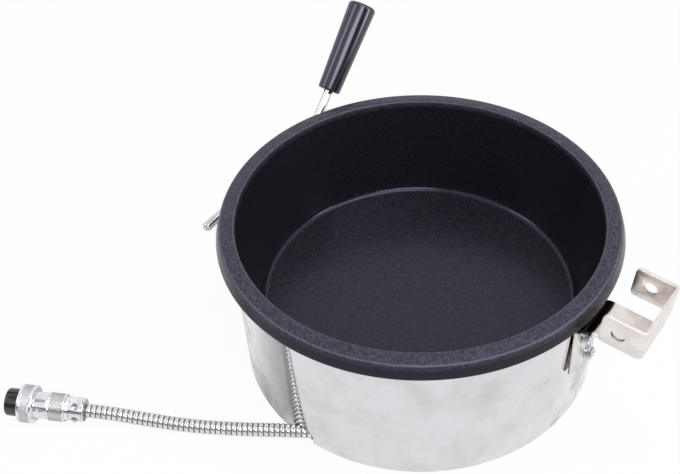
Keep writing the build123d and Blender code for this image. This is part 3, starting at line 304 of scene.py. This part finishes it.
def nickel_with_painted_shade():
    """The hinge bracket's nickel: painted shade and reflection of the rim on its tongue next to the pot, a
    painted shadow behind its flange, straw coloured on the far ear.
    """
    material, tree, place = start_material("nickel_with_painted_rim_shade_on_steel")
    split = add(tree, "ShaderNodeSeparateXYZ", Vector=place).outputs
    radius = axis_distance(tree, place)
    # painted shade and reflection of the rim on the tongue next to the pot, with a ragged edge
    ragged = add(tree, "ShaderNodeTexNoise", Vector=place, **blotches(6, 1.0))
    edge = add(tree, "ShaderNodeMath", PRODUCT_AND_SUM, i0=ragged, i1=1.2 * MM, i2=radius)
    near = add(tree, "ShaderNodeMapRange", Value=edge, **between(*rim_shade_radii), To_Min=1, To_Max=0)
    above = add(tree, "ShaderNodeMapRange", Value=split["Z"], **between(*rim_shade_heights))
    tongue = add(tree, "ShaderNodeMath", PRODUCT, i0=near, i1=above)
    # painted shadow in the gap behind the flange
    back = add(tree, "ShaderNodeMapRange", Value=radius, **between(*flange_back_shadow_radii), To_Min=1, To_Max=0)
    brown = add(tree, "ShaderNodeMath", LARGER, i0=tongue, i1=back)
    # punched holes keep a dark, torn wall
    level = add(tree, "ShaderNodeVectorMath", PRODUCT, i0=place, i1=(1, 0, 1))
    hole = add(tree, "ShaderNodeVectorMath", {"operation": "DISTANCE"}, i0=level, i1=hinge_axis * MM)
    torn = add(tree, "ShaderNodeMapRange", Value=hole, **between(*torn_wall_radii), To_Min=0.55, To_Max=0)
    brown = add(tree, "ShaderNodeMath", LARGER, i0=brown, i1=torn)
    outwards = add(tree, "ShaderNodeMapRange", Value=split["X"], **between(*straw_tint_lengths), To_Max=0.35)
    far_ear = add(tree, "ShaderNodeMapRange", Value=split["Y"], **between(*far_ear_sides))
    straw = add(tree, "ShaderNodeMath", PRODUCT, i0=outwards, i1=far_ear)
    colour = clouded(tree, place, 9, "#ece6e2", "#ded8d4")
    colour = add(tree, "ShaderNodeMix", COLOURS, Factor=straw, i6=colour, i7=linear("#d6c6b4"))
    # dark brown: the painted shade and shadow, and the torn walls of the holes
    colour = add(tree, "ShaderNodeMix", COLOURS, Factor=brown, i6=colour, i7=linear("#231d1a"))
    lines, bump = drawn_lines(tree, place, 0.7, (1, 1, 0.12))
    roughness = add(tree, "ShaderNodeMapRange", Value=lines, From_Min=0.3, From_Max=0.7, To_Min=0.26,
                    To_Max=0.34)
    close_material(tree, Base_Color=colour, Metallic=1.0, Roughness=roughness, Normal=bump)
    return material


def plated_with_groove_shade(name, low, high, groove_shade, rough):
    """Bright plated metal, dull and with painted shade where the piece's own "fold" attribute marks a groove.
    """
    material, tree, place = start_material(name)
    fold = add(tree, "ShaderNodeAttribute", {"attribute_name": "fold"}).outputs["Fac"]
    bright = clouded(tree, place, 5, low, high)
    # painted shade in the grooves
    colour = add(tree, "ShaderNodeMix", COLOURS, Factor=fold, i6=bright, i7=linear(groove_shade))
    roughness = add(tree, "ShaderNodeMapRange", Value=fold, To_Min=rough, To_Max=0.45)
    close_material(tree, Base_Color=colour, Metallic=1.0, Roughness=roughness)
    return material


def striped_silicone():
    """Earth wire's extruded rubber: green with a yellow stripe winding along it."""
    material, tree, place = start_material("green_yellow_silicone_insulation")
    wave = add(tree, "ShaderNodeTexWave", {"bands_direction": "DIAGONAL"}, Vector=place, Scale=1 / (24 * MM),
               Distortion=0.0).outputs["Fac"]
    stripe = add(tree, "ShaderNodeMapRange", Value=wave, From_Min=0.49, From_Max=0.51)
    colour = add(tree, "ShaderNodeMix", COLOURS, Factor=stripe, i6=linear("#2f7d32"), i7=linear("#d9c62b"))
    close_material(tree, Base_Color=colour, Roughness=0.48)
    return material


coat = coated_cast_aluminium()
stainless = polished_stainless()
# nickel plate over pressed steel: warm and bright, with the sheet's rolling lines
nickel = plated_steel("nickel_plated_pressed_steel", "#ece6e2", "#ded8d4", 0.24, 0.7, (1, 1, 0.12))
# bright zinc on turned or headed steel: bluish and bright
zinc = plated_steel("bright_zinc_on_steel", "#dde0e3", "#c9ccd1", 0.16, 0.5)
# centreless ground steel bar: nearly mirror bright
ground_bar = plated_steel("ground_steel_bar", "#d8d8da", "#c4c4c7", 0.14, 0.6)
# cold rolled stainless sheet, brushed one way: grey and satin
brushed_sheet = plated_steel("brushed_stainless_sheet", "#c9c9c8", "#bbbbba", 0.34, 0.8, (1, 0.05, 1))
# satin chrome on turned brass: cold, nearly white
chrome = plated_steel("satin_chrome_on_brass", "#e9e9ed", "#dcdce1", 0.10, 0.5)
# turned brass, left bare: dull gold
brass = plated_steel("turned_brass", "#d2b073", "#bf9a59", 0.25, 0.6)
# tinned copper of the crimped ends: grey with a warm cast
tinned = plated_steel("tinned_copper", "#cdbba6", "#b9a48c", 0.32, 0.6)
# heater sheath after its first burns: olive brown oxide over steel
sheath = plated_steel("heat_darkened_steel_sheath", "#6d675c", "#4f4a44", 0.42, 1.2)
# pressed phenolic: deep black with a hard moulded gloss
phenolic = moulded("moulded_black_phenolic", "#0b0b0f", "#101015", 0.15, 1.4, 0.95, sheen="#e4e4ff")
# glass filled nylon of the plug's insulator: black with a smooth gloss
nylon = moulded("moulded_black_nylon", "#0c0c0f", "#131317", 0.12, 0.8, 0.8)
# brown phenolic of the thermostat's body: dark, half glossy
brown_phenolic = moulded("moulded_brown_phenolic", "#2b1d16", "#362419", 0.38, 0.8)
# unglazed steatite, pressed and fired: chalky and pale
steatite = moulded("fired_steatite", "#e2dcd0", "#d3ccbe", 0.62, 0.5, 0.4)
# extruded silicone rubber of the wires: a soft, even sheen
brown_silicone = moulded("brown_silicone_insulation", "#5a3220", "#4a2818", 0.48, 0.7, 0.4)
blue_silicone = moulded("blue_silicone_insulation", "#27509c", "#1f4284", 0.48, 0.7, 0.4)
# woven glass sleeving, varnished: dull white
glass_sleeving = moulded("white_glass_sleeving", "#e6e4dc", "#d2d0c6", 0.70, 0.4, 0.3, 0.12)
# galvanised strip wound into a hose: bright crests, dull and with painted grey shade where the strip folds
# under
hose_strip = plated_with_groove_shade("galvanised_steel_strip", "#e6e5e4", "#d3d2d0", "#858381", 0.15)
# satin chrome pressed with a diamond knurl: its pits stay dull, with painted shade in them
knurled_chrome = plated_with_groove_shade("knurled_satin_chrome_on_brass", "#eeeef2", "#e0e0e5", "#a2a2a6", 0.12)
shaded_nickel = nickel_with_painted_shade()
earth_silicone = striped_silicone()


# ------------------------------------------------------------------ making pieces
def piece(name, bm, material, slot, *replaced, body="kettle", smooth=32):
    """Turns a bmesh into a finished piece on its body."""
    mesh = bpy.data.meshes.new(name)
    bm.to_mesh(mesh)
    bm.free()
    mesh.shade_smooth()
    mesh.set_sharp_from_angle(angle=math.radians(smooth))
    made = bpy.data.objects.new(name, mesh)
    scene.collection.objects.link(made)
    made.data.materials.append(material)
    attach(made, body)
    if replaced:
        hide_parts(*replaced)
    return made


def turn(bm, corners, steps, segments=6):
    """Adds a turned solid about +Z from (radius, height, rounding) corners in millimetres."""
    points = [bm.verts.new((radius * MM, 0, height * MM)) for radius, height, _ in corners]
    on_axis = corners[0][0] == 0 and corners[-1][0] == 0
    pairs = list(zip(points, points[1:])) + ([] if on_axis else [(points[-1], points[0])])
    for pair in pairs:
        bm.edges.new(pair)
    count = len(corners)
    reach = []
    for i, (radius, height, rounding) in enumerate(corners):
        before = Vector(corners[i - 1][:2]) - Vector((radius, height))
        after = Vector(corners[(i + 1) % count][:2]) - Vector((radius, height))
        reach.append(rounding / math.tan(before.angle(after) / 2) if rounding else 0)
    for point, length in zip(points, reach):
        if length:
            bmesh.ops.bevel(bm, geom=[point], offset=length * MM, offset_type="OFFSET", affect="VERTICES",
                            segments=segments, profile=0.5, material=-1)
    profile = [v for v in bm.verts if not v.link_faces]
    edges = [e for e in bm.edges if not e.link_faces]
    bmesh.ops.spin(bm, geom=profile + edges, cent=(0, 0, 0), axis=(0, 0, 1), angle=2 * math.pi, steps=steps,
                   use_merge=True, use_duplicate=False)
    bmesh.ops.remove_doubles(bm, verts=bm.verts, dist=1e-6)
    bmesh.ops.recalc_face_normals(bm, faces=bm.faces)


def standing(origin, direction):
    """Matrix of a frame whose Z is a direction and whose X is level; origin in millimetres."""
    z = Vector(direction).normalized()
    x = UP.cross(z).normalized() if abs(z.z) < 0.99 else Vector((1, 0, 0))
    y = z.cross(x)
    matrix = Matrix((x, y, z)).transposed().to_4x4()
    matrix.translation = Vector(origin) * MM
    return matrix


def set_at(bm, origin, direction):
    """Moves what was made about +Z to an origin and direction."""
    bmesh.ops.transform(bm, matrix=standing(origin, direction), verts=bm.verts)


def solid_copy(node, edge=0.0):
    """A CAD node's shape as one closed mesh, its sharp edges eased by so many millimetres."""
    bm = bmesh.new()
    bm.from_mesh(cad[node].data)
    bmesh.ops.remove_doubles(bm, verts=bm.verts, dist=2e-6)
    if edge:
        bmesh.ops.dissolve_limit(bm, angle_limit=math.radians(1), verts=bm.verts, edges=bm.edges,
                                 delimit={"NORMAL"})
        sharp = [e for e in bm.edges if len(e.link_faces) == 2 and e.calc_face_angle() > math.radians(50)]
        bmesh.ops.bevel(bm, geom=sharp, offset=edge * MM, offset_type="OFFSET", affect="EDGES",
                        segments=2, profile=0.5, material=-1, clamp_overlap=True)
    return bm


def cut(bm, cutter):
    """One closed mesh less another, both given as bmeshes."""
    held = []
    for source in (bm, cutter):
        mesh = bpy.data.meshes.new("working")
        source.to_mesh(mesh)
        source.free()
        held.append(bpy.data.objects.new("working", mesh))
        scene.collection.objects.link(held[-1])
    modifier = held[0].modifiers.new("cut", "BOOLEAN")
    modifier.operation = "DIFFERENCE"
    modifier.object = held[1]
    modifier.solver = "EXACT"
    result = bmesh.new()
    result.from_mesh(held[0].evaluated_get(bpy.context.evaluated_depsgraph_get()).to_mesh())
    for used in held:
        bpy.data.objects.remove(used)
    return result


# ------------------------------------------------------------------ hose, the first of all
def curve_points(name, route, steps=24):
    """Points along the smooth line that the route's corners pull, as the curve itself gives them."""
    line = bpy.data.curves.new(name, "CURVE")
    line.dimensions = "3D"
    line.resolution_u = steps
    spline = line.splines.new("NURBS")
    spline.points.add(len(route) - 1)
    for point, corner in zip(spline.points, route):
        point.co = (*[c * MM for c in corner], 1)
    spline.order_u = 3
    spline.use_endpoint_u = True
    holder = bpy.data.objects.new(name, line)
    mesh = bpy.data.meshes.new_from_object(holder)
    points = [v.co.copy() for v in mesh.vertices]
    bpy.data.objects.remove(holder)
    bpy.data.curves.remove(line)
    bpy.data.meshes.remove(mesh)
    return points


def spaced(points, distances):
    """Places and directions at distances along a line of points."""
    found = []
    lengths = [0.0]
    for first, second in zip(points, points[1:]):
        lengths.append(lengths[-1] + (second - first).length)
    index = 0
    for distance in distances:
        while index < len(points) - 2 and lengths[index + 1] < distance:
            index += 1
        share = (distance - lengths[index]) / (lengths[index + 1] - lengths[index])
        direction = (points[index + 1] - points[index]).normalized()
        found.append((points[index].lerp(points[index + 1], share), direction))
    return found


def line_length(points):
    """Length of a line of points."""
    return sum((second - first).length for first, second in zip(points, points[1:]))


hose_line = curve_points("hose_line", hose_route)
hose_length = line_length(hose_line)


def ribbed_hose():
    """Interlocked strip hose: round crests a pitch apart, each with a fold at its rear."""
    plain = hose_plain_end * MM
    ribs = round((hose_length - 2 * plain) / (hose_rib_pitch * MM))
    pitch = (hose_length - 2 * plain) / ribs
    # share of the pitch, and radius
    section = [(0.00, hose_root), (0.08, hose_root), (0.12, 4.02), (0.22, 4.17), (0.42, hose_radius),
               (0.64, 4.17), (0.78, 4.02), (0.84, hose_root)]
    stations = [(0.0, hose_root)]
    for rib in range(ribs):
        stations += [(plain + (rib + share) * pitch, radius) for share, radius in section]
    stations += [(hose_length - 1e-6, hose_root), (hose_length - 1e-6, hose_bore)]
    stations += [(hose_length * tenth / 10, hose_bore) for tenth in range(9, -1, -1)]
    order = sorted(range(len(stations)), key=lambda i: stations[i][0])
    places = dict(zip(order, spaced(hose_line, [stations[i][0] for i in order])))
    bm = bmesh.new()
    fold = bm.verts.layers.float.new("fold")
    rings = []
    for index, (_, radius) in enumerate(stations):
        middle, direction = places[index]
        circle = bmesh.ops.create_circle(bm, segments=32, radius=radius * MM, cap_ends=False)["verts"]
        bmesh.ops.transform(bm, matrix=standing(middle / MM, direction), verts=circle)
        for vertex in circle:
            vertex[fold] = 1.0 if radius <= hose_root else 0.0
        rings.append(circle)
    outlines = []
    for ring in rings:
        edges = dict.fromkeys(e for v in ring for e in v.link_edges)
        outlines.append(list(edges))
    for first, second in zip(outlines, outlines[1:] + outlines[:1]):
        bmesh.ops.bridge_loops(bm, edges=first + second)
    bmesh.ops.recalc_face_normals(bm, faces=bm.faces)
    return bm


hose = piece("flexible_hose", ribbed_hose(), hose_strip, "hose_steel", "flexible_conduit", smooth=60)


# ------------------------------------------------------------------ pot and shell
def cast_pot():
    """Pot with its overhanging rim, whose top slopes down a little outwards."""
    bm = bmesh.new()
    turn(bm, [(0, pot_underside, 0), (pot_wall_foot, pot_underside, 10.5), (pot_wall_top, rim_under, 0.8),
              (rim_inner_radius, rim_under, 0.8), (rim_inner_radius, rim_foot, 0.7),
              (rim_radius, rim_foot, 0.7),
              (rim_top_radius, rim_edge_height, 1.5), (mouth_radius + 2.5, pot_height, 3.0),
              (mouth_radius, pot_height, 1.0), (pot_floor_radius, pot_floor, 3.6), (0, pot_floor, 0)],
         round_steps, 8)
    return bm


piece("cast_pot", cast_pot(), coat, "coated_aluminium", "inner_pot", smooth=40)


def drawn_shell():
    """Slightly tapered sheet shell, slotted at its foot for the hose."""
    bm = bmesh.new()
    turn(bm, [(shell_foot_radius - shell_wall, 0, 0.2), (shell_foot_radius, 0, 0.3),
              (shell_top_radius, rim_under, 0), (shell_top_radius - shell_wall, rim_under, 0)],
         round_steps, 2)
    start = Vector(hose_route[0])
    out = (Vector(hose_route[1]) - start).normalized()
    slot = bmesh.new()
    bmesh.ops.create_cone(slot, cap_ends=True, segments=32, radius1=hose_slot_radius * MM,
                          radius2=hose_slot_radius * MM, depth=hose_slot_length * MM)
    for v in slot.verts:
        if v.co.y < 0:
            v.co.y -= hose_slot_drop * MM
    set_at(slot, start + out * hose_slot_middle, out)
    return cut(bm, slot)


piece("drawn_shell", drawn_shell(), stainless, "polished_stainless", "outer_shell", smooth=40)


# ------------------------------------------------------------------ brackets, rod and grip
def hinge_bracket_shape():
    """The pressed bracket, its flange rolled to the shell's curve."""
    bm = solid_copy("hinge_bracket", 0.3)
    for across in range(-14, 14, 2):
        bmesh.ops.bisect_plane(bm, geom=bm.verts[:] + bm.edges[:] + bm.faces[:], dist=1e-7,
                               plane_co=(0, across * MM, 0), plane_no=(0, 1, 0))
    for v in bm.verts:
        share = min(1.0, max(0.0, (flange_top - v.co.z / MM) / flange_blend))
        v.co.x -= share * (flange_radius * MM - math.sqrt((flange_radius * MM) ** 2 - v.co.y ** 2))
    return bm


piece("pressed_hinge_bracket", hinge_bracket_shape(), shaded_nickel, "nickel_steel", "hinge_bracket")
piece("pressed_handle_bracket", solid_copy("handle_bracket", 0.3), nickel, "nickel_steel", "handle_bracket")
piece("bent_handle_rod", solid_copy("handle_rod"), ground_bar, "polished_steel", "handle_rod")


def grip_shape():
    """Tapered grip, its lower end recessed round the rod."""
    bm = bmesh.new()
    turn(bm, [(0, grip_recess, 0), (grip_recess_radius, grip_recess, 0.3), (grip_recess_radius, 0, 0.5),
              (grip_foot_radius, 0, 1.2), (grip_top_radius, grip_length, 2.4), (0, grip_length, 0)], 96, 8)
    set_at(bm, bend_corner + arm * grip_start, arm)
    return bm


piece("moulded_grip", grip_shape(), phenolic, "bakelite", "handle_grip", smooth=40)


# ------------------------------------------------------------------ plug
def ramp(value):
    """Rises from 0 to 1 and falls back to 0 in each whole step of a value."""
    return 1 - abs(2 * (value % 1.0) - 1)


def knurl(bm, radius, first, last, edge):
    """Presses a diamond knurl into the outside of a turned solid about +Z, between two heights."""
    count = round(2 * math.pi * radius / knurl_pitch)
    fold = bm.verts.layers.float.new("fold")
    for v in bm.verts:
        height = v.co.z / MM
        if abs(math.hypot(v.co.x, v.co.y) / MM - radius) > 0.02 or not first + edge <= height <= last - edge:
            continue
        around = math.atan2(v.co.y, v.co.x) / (2 * math.pi) * count
        along = (height - first) / knurl_pitch
        low = max(0.0, 1 - min(ramp(around + along), ramp(around - along)) * 1.6)
        v[fold] = low
        v.co.x *= 1 - knurl_depth / radius * low
        v.co.y *= 1 - knurl_depth / radius * low


def knurled_turning(corners, radius, first, last, edge):
    """A turned solid whose knurled band has the points that the knurl needs."""
    count = round(2 * math.pi * radius / knurl_pitch)
    rows = round((last - first) / (knurl_pitch / 4))
    bm = bmesh.new()
    turn(bm, corners, count * 4, 3)
    for row in range(rows + 1):
        height = first + (last - first) * row / rows
        bmesh.ops.bisect_plane(bm, geom=bm.verts[:] + bm.edges[:] + bm.faces[:], dist=1e-7,
                               plane_co=(0, 0, height * MM), plane_no=(0, 0, 1))
    knurl(bm, radius, first, last, edge)
    return bm


def plug_tail_shape():
    """Knurled sleeve, closed behind but for the wires, joined to the solid's own clamp."""
    bm = knurled_turning([(sleeve_bore, sleeve_front, 0), (sleeve_bore, clamp_length + 2, 0),
                          (wire_passage, clamp_length + 2, 0), (wire_passage, clamp_length, 0),
                          (sleeve_radius, clamp_length, 0.8), (sleeve_radius, sleeve_front, 0.8)],
                         sleeve_radius, clamp_length + sleeve_plain_end, sleeve_front - sleeve_plain_end, 0.2)
    set_at(bm, plug_tail, plug_forward)
    rest = solid_copy("plug_tail", 0.15)
    bmesh.ops.bisect_plane(rest, geom=rest.verts[:] + rest.edges[:] + rest.faces[:], dist=1e-7,
                           plane_co=(plug_tail + plug_forward * (clamp_length + 0.02)) * MM,
                           plane_no=plug_forward, clear_outer=True)
    open_edges = [e for e in rest.edges if e.is_boundary]
    bmesh.ops.holes_fill(rest, edges=open_edges, sides=0)
    rest_mesh = bpy.data.meshes.new("clamp")
    rest.to_mesh(rest_mesh)
    rest.free()
    bm.from_mesh(rest_mesh)
    bpy.data.meshes.remove(rest_mesh)
    return bm


tail = piece("plug_tail_turning", plug_tail_shape(), knurled_chrome, "plug_chrome", "plug_tail")


def coupling_ring_shape():
    """Knurled ring whose rear lip runs on the barrel."""
    bm = knurled_turning([(ring_lip_radius, ring_rear, 0), (ring_radius, ring_rear, 0.9),
                          (ring_radius, ring_front, 0.9), (ring_bore, ring_front, 0.3),
                          (ring_bore, ring_rear + ring_lip, 0), (ring_lip_radius, ring_rear + ring_lip, 0)],
                         ring_radius, ring_rear + ring_plain_end, ring_front - ring_plain_end, 0.0)
    set_at(bm, plug_tail, plug_forward)
    return bm


ring = piece("knurled_coupling_ring", coupling_ring_shape(), knurled_chrome, "plug_chrome", "coupling_ring",
             body="ring")
# CAD node: piece, material, slot, easing of its edges, body
PLUG_FINISHES = {
    "cable_saddle": ("pressed_saddle", chrome, "plug_chrome", 0.3, "kettle"),
    "plug_barrel": ("turned_barrel", chrome, "plug_chrome", 0.1, "kettle"),
    "plug_insulator": ("moulded_insulator", nylon, "plug_black", 0.1, "kettle"),
    "plug_contacts": ("turned_contacts", brass, "brass", 0.1, "kettle"),
    "saddle_screws": ("saddle_screw_pair", zinc, "zinc_steel", 0.12, "kettle"),
    "insulator_set_screw": ("insulator_grub_screw", zinc, "zinc_steel", 0.0, "kettle"),
    "ring_retainer": ("ring_retainer_clip", zinc, "zinc_steel", 0.0, "ring_carriage"),
}
plug_pieces = [piece(name, solid_copy(node, edge), material, slot, node, body=body)
               for node, (name, material, slot, edge, body) in PLUG_FINISHES.items()]

# ------------------------------------------------------------------ the rest keeps its CAD shape
# CAD node: material, slot, easing of its edges
FINISHES = {
    "base_cover": (brushed_sheet, "satin_stainless", 0.0),
    "base_posts": (zinc, "zinc_steel", 0.2),
    "base_cover_screws": (zinc, "zinc_steel", 0.0),
    "heating_element": (sheath, "element_steel", 0.0),
    "element_terminals": (steatite, "ceramic", 0.0),
    "element_clamp_plate": (brushed_sheet, "satin_stainless", 0.2),
    "clamp_plate_screws": (zinc, "zinc_steel", 0.0),
    "thermostat": (brown_phenolic, "thermostat_body", 0.0),
    "thermostat_strap": (zinc, "zinc_steel", 0.15),
    "thermostat_screws": (zinc, "zinc_steel", 0.15),
    "thermal_fuse": (tinned, "copper_plate", 0.0),
    "fuse_clip": (zinc, "zinc_steel", 0.0),
    "fuse_clip_rivets": (tinned, "copper_plate", 0.15),
    "line_wire": (brown_silicone, "wire_brown", 0.0),
    "neutral_wire": (blue_silicone, "wire_blue", 0.0),
    "earth_wire": (earth_silicone, "wire_green", 0.0),
    "thermostat_lead": (glass_sleeving, "wire_white", 0.0),
    "fuse_lead": (glass_sleeving, "wire_white", 0.0),
    "wire_sleeves": (tinned, "copper_plate", 0.0),
    "wire_receptacles": (brass, "brass", 0.0),
    "earth_lug": (tinned, "copper_plate", 0.0),
    "earth_screw": (brass, "brass", 0.3),
    "hose_ferrule": (chrome, "plug_chrome", 0.0),
    "inlet_bracket": (brushed_sheet, "satin_stainless", 0.0),
    "ferrule_locknut": (brass, "brass", 0.0),
    "hinge_studs": (zinc, "zinc_steel", 0.3),
    "hinge_washers": (zinc, "zinc_steel", 0.15),
    "hinge_nuts": (zinc, "zinc_steel", 0.25),
    "handle_studs": (zinc, "zinc_steel", 0.3),
    "handle_washers": (zinc, "zinc_steel", 0.15),
    "handle_nuts": (zinc, "zinc_steel", 0.25),
    "grip_insert": (brass, "brass", 0.0),
}
for node, (material, slot, edge) in FINISHES.items():
    piece(node + "_finished", solid_copy(node, edge), material, slot, node)

# ------------------------------------------------------------------ floor, light and camera
def floor():
    """White paper under the kettle. The shell mirrors it with a painted grey shadow before the pot."""
    bm = bmesh.new()
    bmesh.ops.create_grid(bm, x_segments=1, y_segments=1, size=6)
    mesh = bpy.data.meshes.new("floor")
    bm.to_mesh(mesh)
    bm.free()
    made = bpy.data.objects.new("floor", mesh)
    scene.collection.objects.link(made)
    material, tree, place = start_material("white_paper")
    path = add(tree, "ShaderNodeLightPath").outputs
    paper = add(tree, "ShaderNodeBsdfDiffuse", Color=linear("#e8e8e8"))
    # the painted shadow starts sharply, fades towards the pot and ends on the right
    along = add(tree, "ShaderNodeVectorMath", {"operation": "DOT_PRODUCT"}, i0=place, i1=painted_shadow_direction)
    before = add(tree, "ShaderNodeMapRange", Value=along, **between(*painted_shadow_near_edge), To_Min=1, To_Max=0)
    behind = add(tree, "ShaderNodeMapRange", Value=along, **between(*painted_shadow_fade), To_Min=0.26, To_Max=1.0)
    white = add(tree, "ShaderNodeMath", LARGER, i0=before, i1=behind)
    side = add(tree, "ShaderNodeSeparateXYZ", Vector=place).outputs["X"]
    right = add(tree, "ShaderNodeMapRange", Value=side, **between(*painted_shadow_right_end))
    white = add(tree, "ShaderNodeMath", LARGER, i0=white, i1=right)
    strength = add(tree, "ShaderNodeMath", LARGER, i0=path["Is Camera Ray"], i1=white)
    bright = add(tree, "ShaderNodeEmission", Color=WHITE, Strength=strength)
    # camera and metal see mostly bright paper, mixed with a little of the paper that takes the shadow
    viewed = add(tree, "ShaderNodeMath", PRODUCT, i0=path["Is Camera Ray"], i1=0.94)
    share = add(tree, "ShaderNodeMath", PRODUCT_AND_SUM, i0=path["Is Glossy Ray"], i1=0.75, i2=viewed)
    mixed = add(tree, "ShaderNodeMixShader", i0=share, i1=paper, i2=bright)
    add(tree, "ShaderNodeOutputMaterial", Surface=mixed)
    mesh.materials.append(material)


def surroundings():
    """White studio: soft grey as light, white for the camera; what is glossy mirrors a dim room in front."""
    world = bpy.data.worlds.new("studio")
    scene.world = world
    world.use_nodes = True
    tree = world.node_tree
    tree.nodes.clear()
    path = add(tree, "ShaderNodeLightPath").outputs
    direction = add(tree, "ShaderNodeTexCoord").outputs["Generated"]
    height = add(tree, "ShaderNodeSeparateXYZ", Vector=direction).outputs["Z"]
    # the room: 1 where it is darkest, between the table and half way up, in front only
    below = add(tree, "ShaderNodeMapRange", Value=height, From_Min=0.50, From_Max=0.60, To_Min=1, To_Max=0)
    rising = add(tree, "ShaderNodeMapRange", Value=height, From_Min=0, From_Max=0.28, To_Min=0.55, To_Max=1)
    band = add(tree, "ShaderNodeMath", PRODUCT, i0=below, i1=rising)
    facing = add(tree, "ShaderNodeVectorMath", {"operation": "DOT_PRODUCT"}, i0=direction,
                 i1=(0.62, -0.79, 0))
    front = add(tree, "ShaderNodeMapRange", Value=facing, From_Min=0.2, From_Max=0.4)
    room = add(tree, "ShaderNodeMath", PRODUCT, i0=band, i1=front)
    # a dim patch of ceiling straight above
    ceiling = add(tree, "ShaderNodeMapRange", Value=height, From_Min=0.955, From_Max=0.985, To_Max=0.65)
    dim = add(tree, "ShaderNodeMath", LARGER, i0=room, i1=ceiling)
    metal = add(tree, "ShaderNodeMapRange", Value=dim, To_Min=1.0, To_Max=0.22)
    lit = add(tree, "ShaderNodeBackground", Color=WHITE, Strength=0.55)
    mirrored = add(tree, "ShaderNodeBackground", Color=WHITE, Strength=metal)
    seen = add(tree, "ShaderNodeBackground", Color=WHITE, Strength=1.0)
    first = add(tree, "ShaderNodeMixShader", i0=path["Is Glossy Ray"], i1=lit, i2=mirrored)
    second = add(tree, "ShaderNodeMixShader", i0=path["Is Camera Ray"], i1=first, i2=seen)
    add(tree, "ShaderNodeOutputWorld", Surface=second)


def softbox(name, place, target, width, height, power):
    """Rectangular softbox aimed at a point; lengths in metres, power in watts."""
    light = bpy.data.lights.new(name, "AREA")
    light.shape = "RECTANGLE"
    light.size = width
    light.size_y = height
    light.energy = power
    made = bpy.data.objects.new(name, light)
    scene.collection.objects.link(made)
    made.location = place
    made.rotation_euler = (Vector(target) - Vector(place)).to_track_quat("-Z", "Y").to_euler()


def photograph_view():
    """Camera at the photograph's angle: its azimuth, its tilt and its slight roll."""
    lens = bpy.data.cameras.new("camera")
    lens.sensor_width = 36
    lens.lens = 58.88
    lens.clip_start = 0.01
    made = bpy.data.objects.new("camera", lens)
    scene.collection.objects.link(made)
    azimuth = math.radians(128.1)
    tilt = math.radians(43.034)
    roll = math.radians(-3.7007)
    aim = Vector((math.cos(azimuth) * math.cos(tilt), math.sin(azimuth) * math.cos(tilt), -math.sin(tilt)))
    made.rotation_mode = "QUATERNION"
    made.rotation_quaternion = aim.to_track_quat("-Z", "Y") @ Quaternion((0, 0, 1), roll)
    made.location = (0.2620, -0.4097, 0.5388)
    scene.camera = made


floor()
surroundings()
# softboxes: place, aim, width, height and power
softbox("overhead", (0.35, 0.1, 1.3), (0, 0, 0.05), 0.5, 0.9, 5)
softbox("left", (-0.9, -0.7, 0.8), (0, 0, 0.05), 0.3, 1.0, 2.5)
softbox("front", (0.78, -0.85, 1.15), (-0.12, 0.12, 0.15), 0.9, 0.7, 8.5)
softbox("right", (1.40, 0.38, 0.58), (-0.10, 0.05, 0.10), 0.4, 1.2, 8)
photograph_view()
scene.view_settings.view_transform = "Standard"
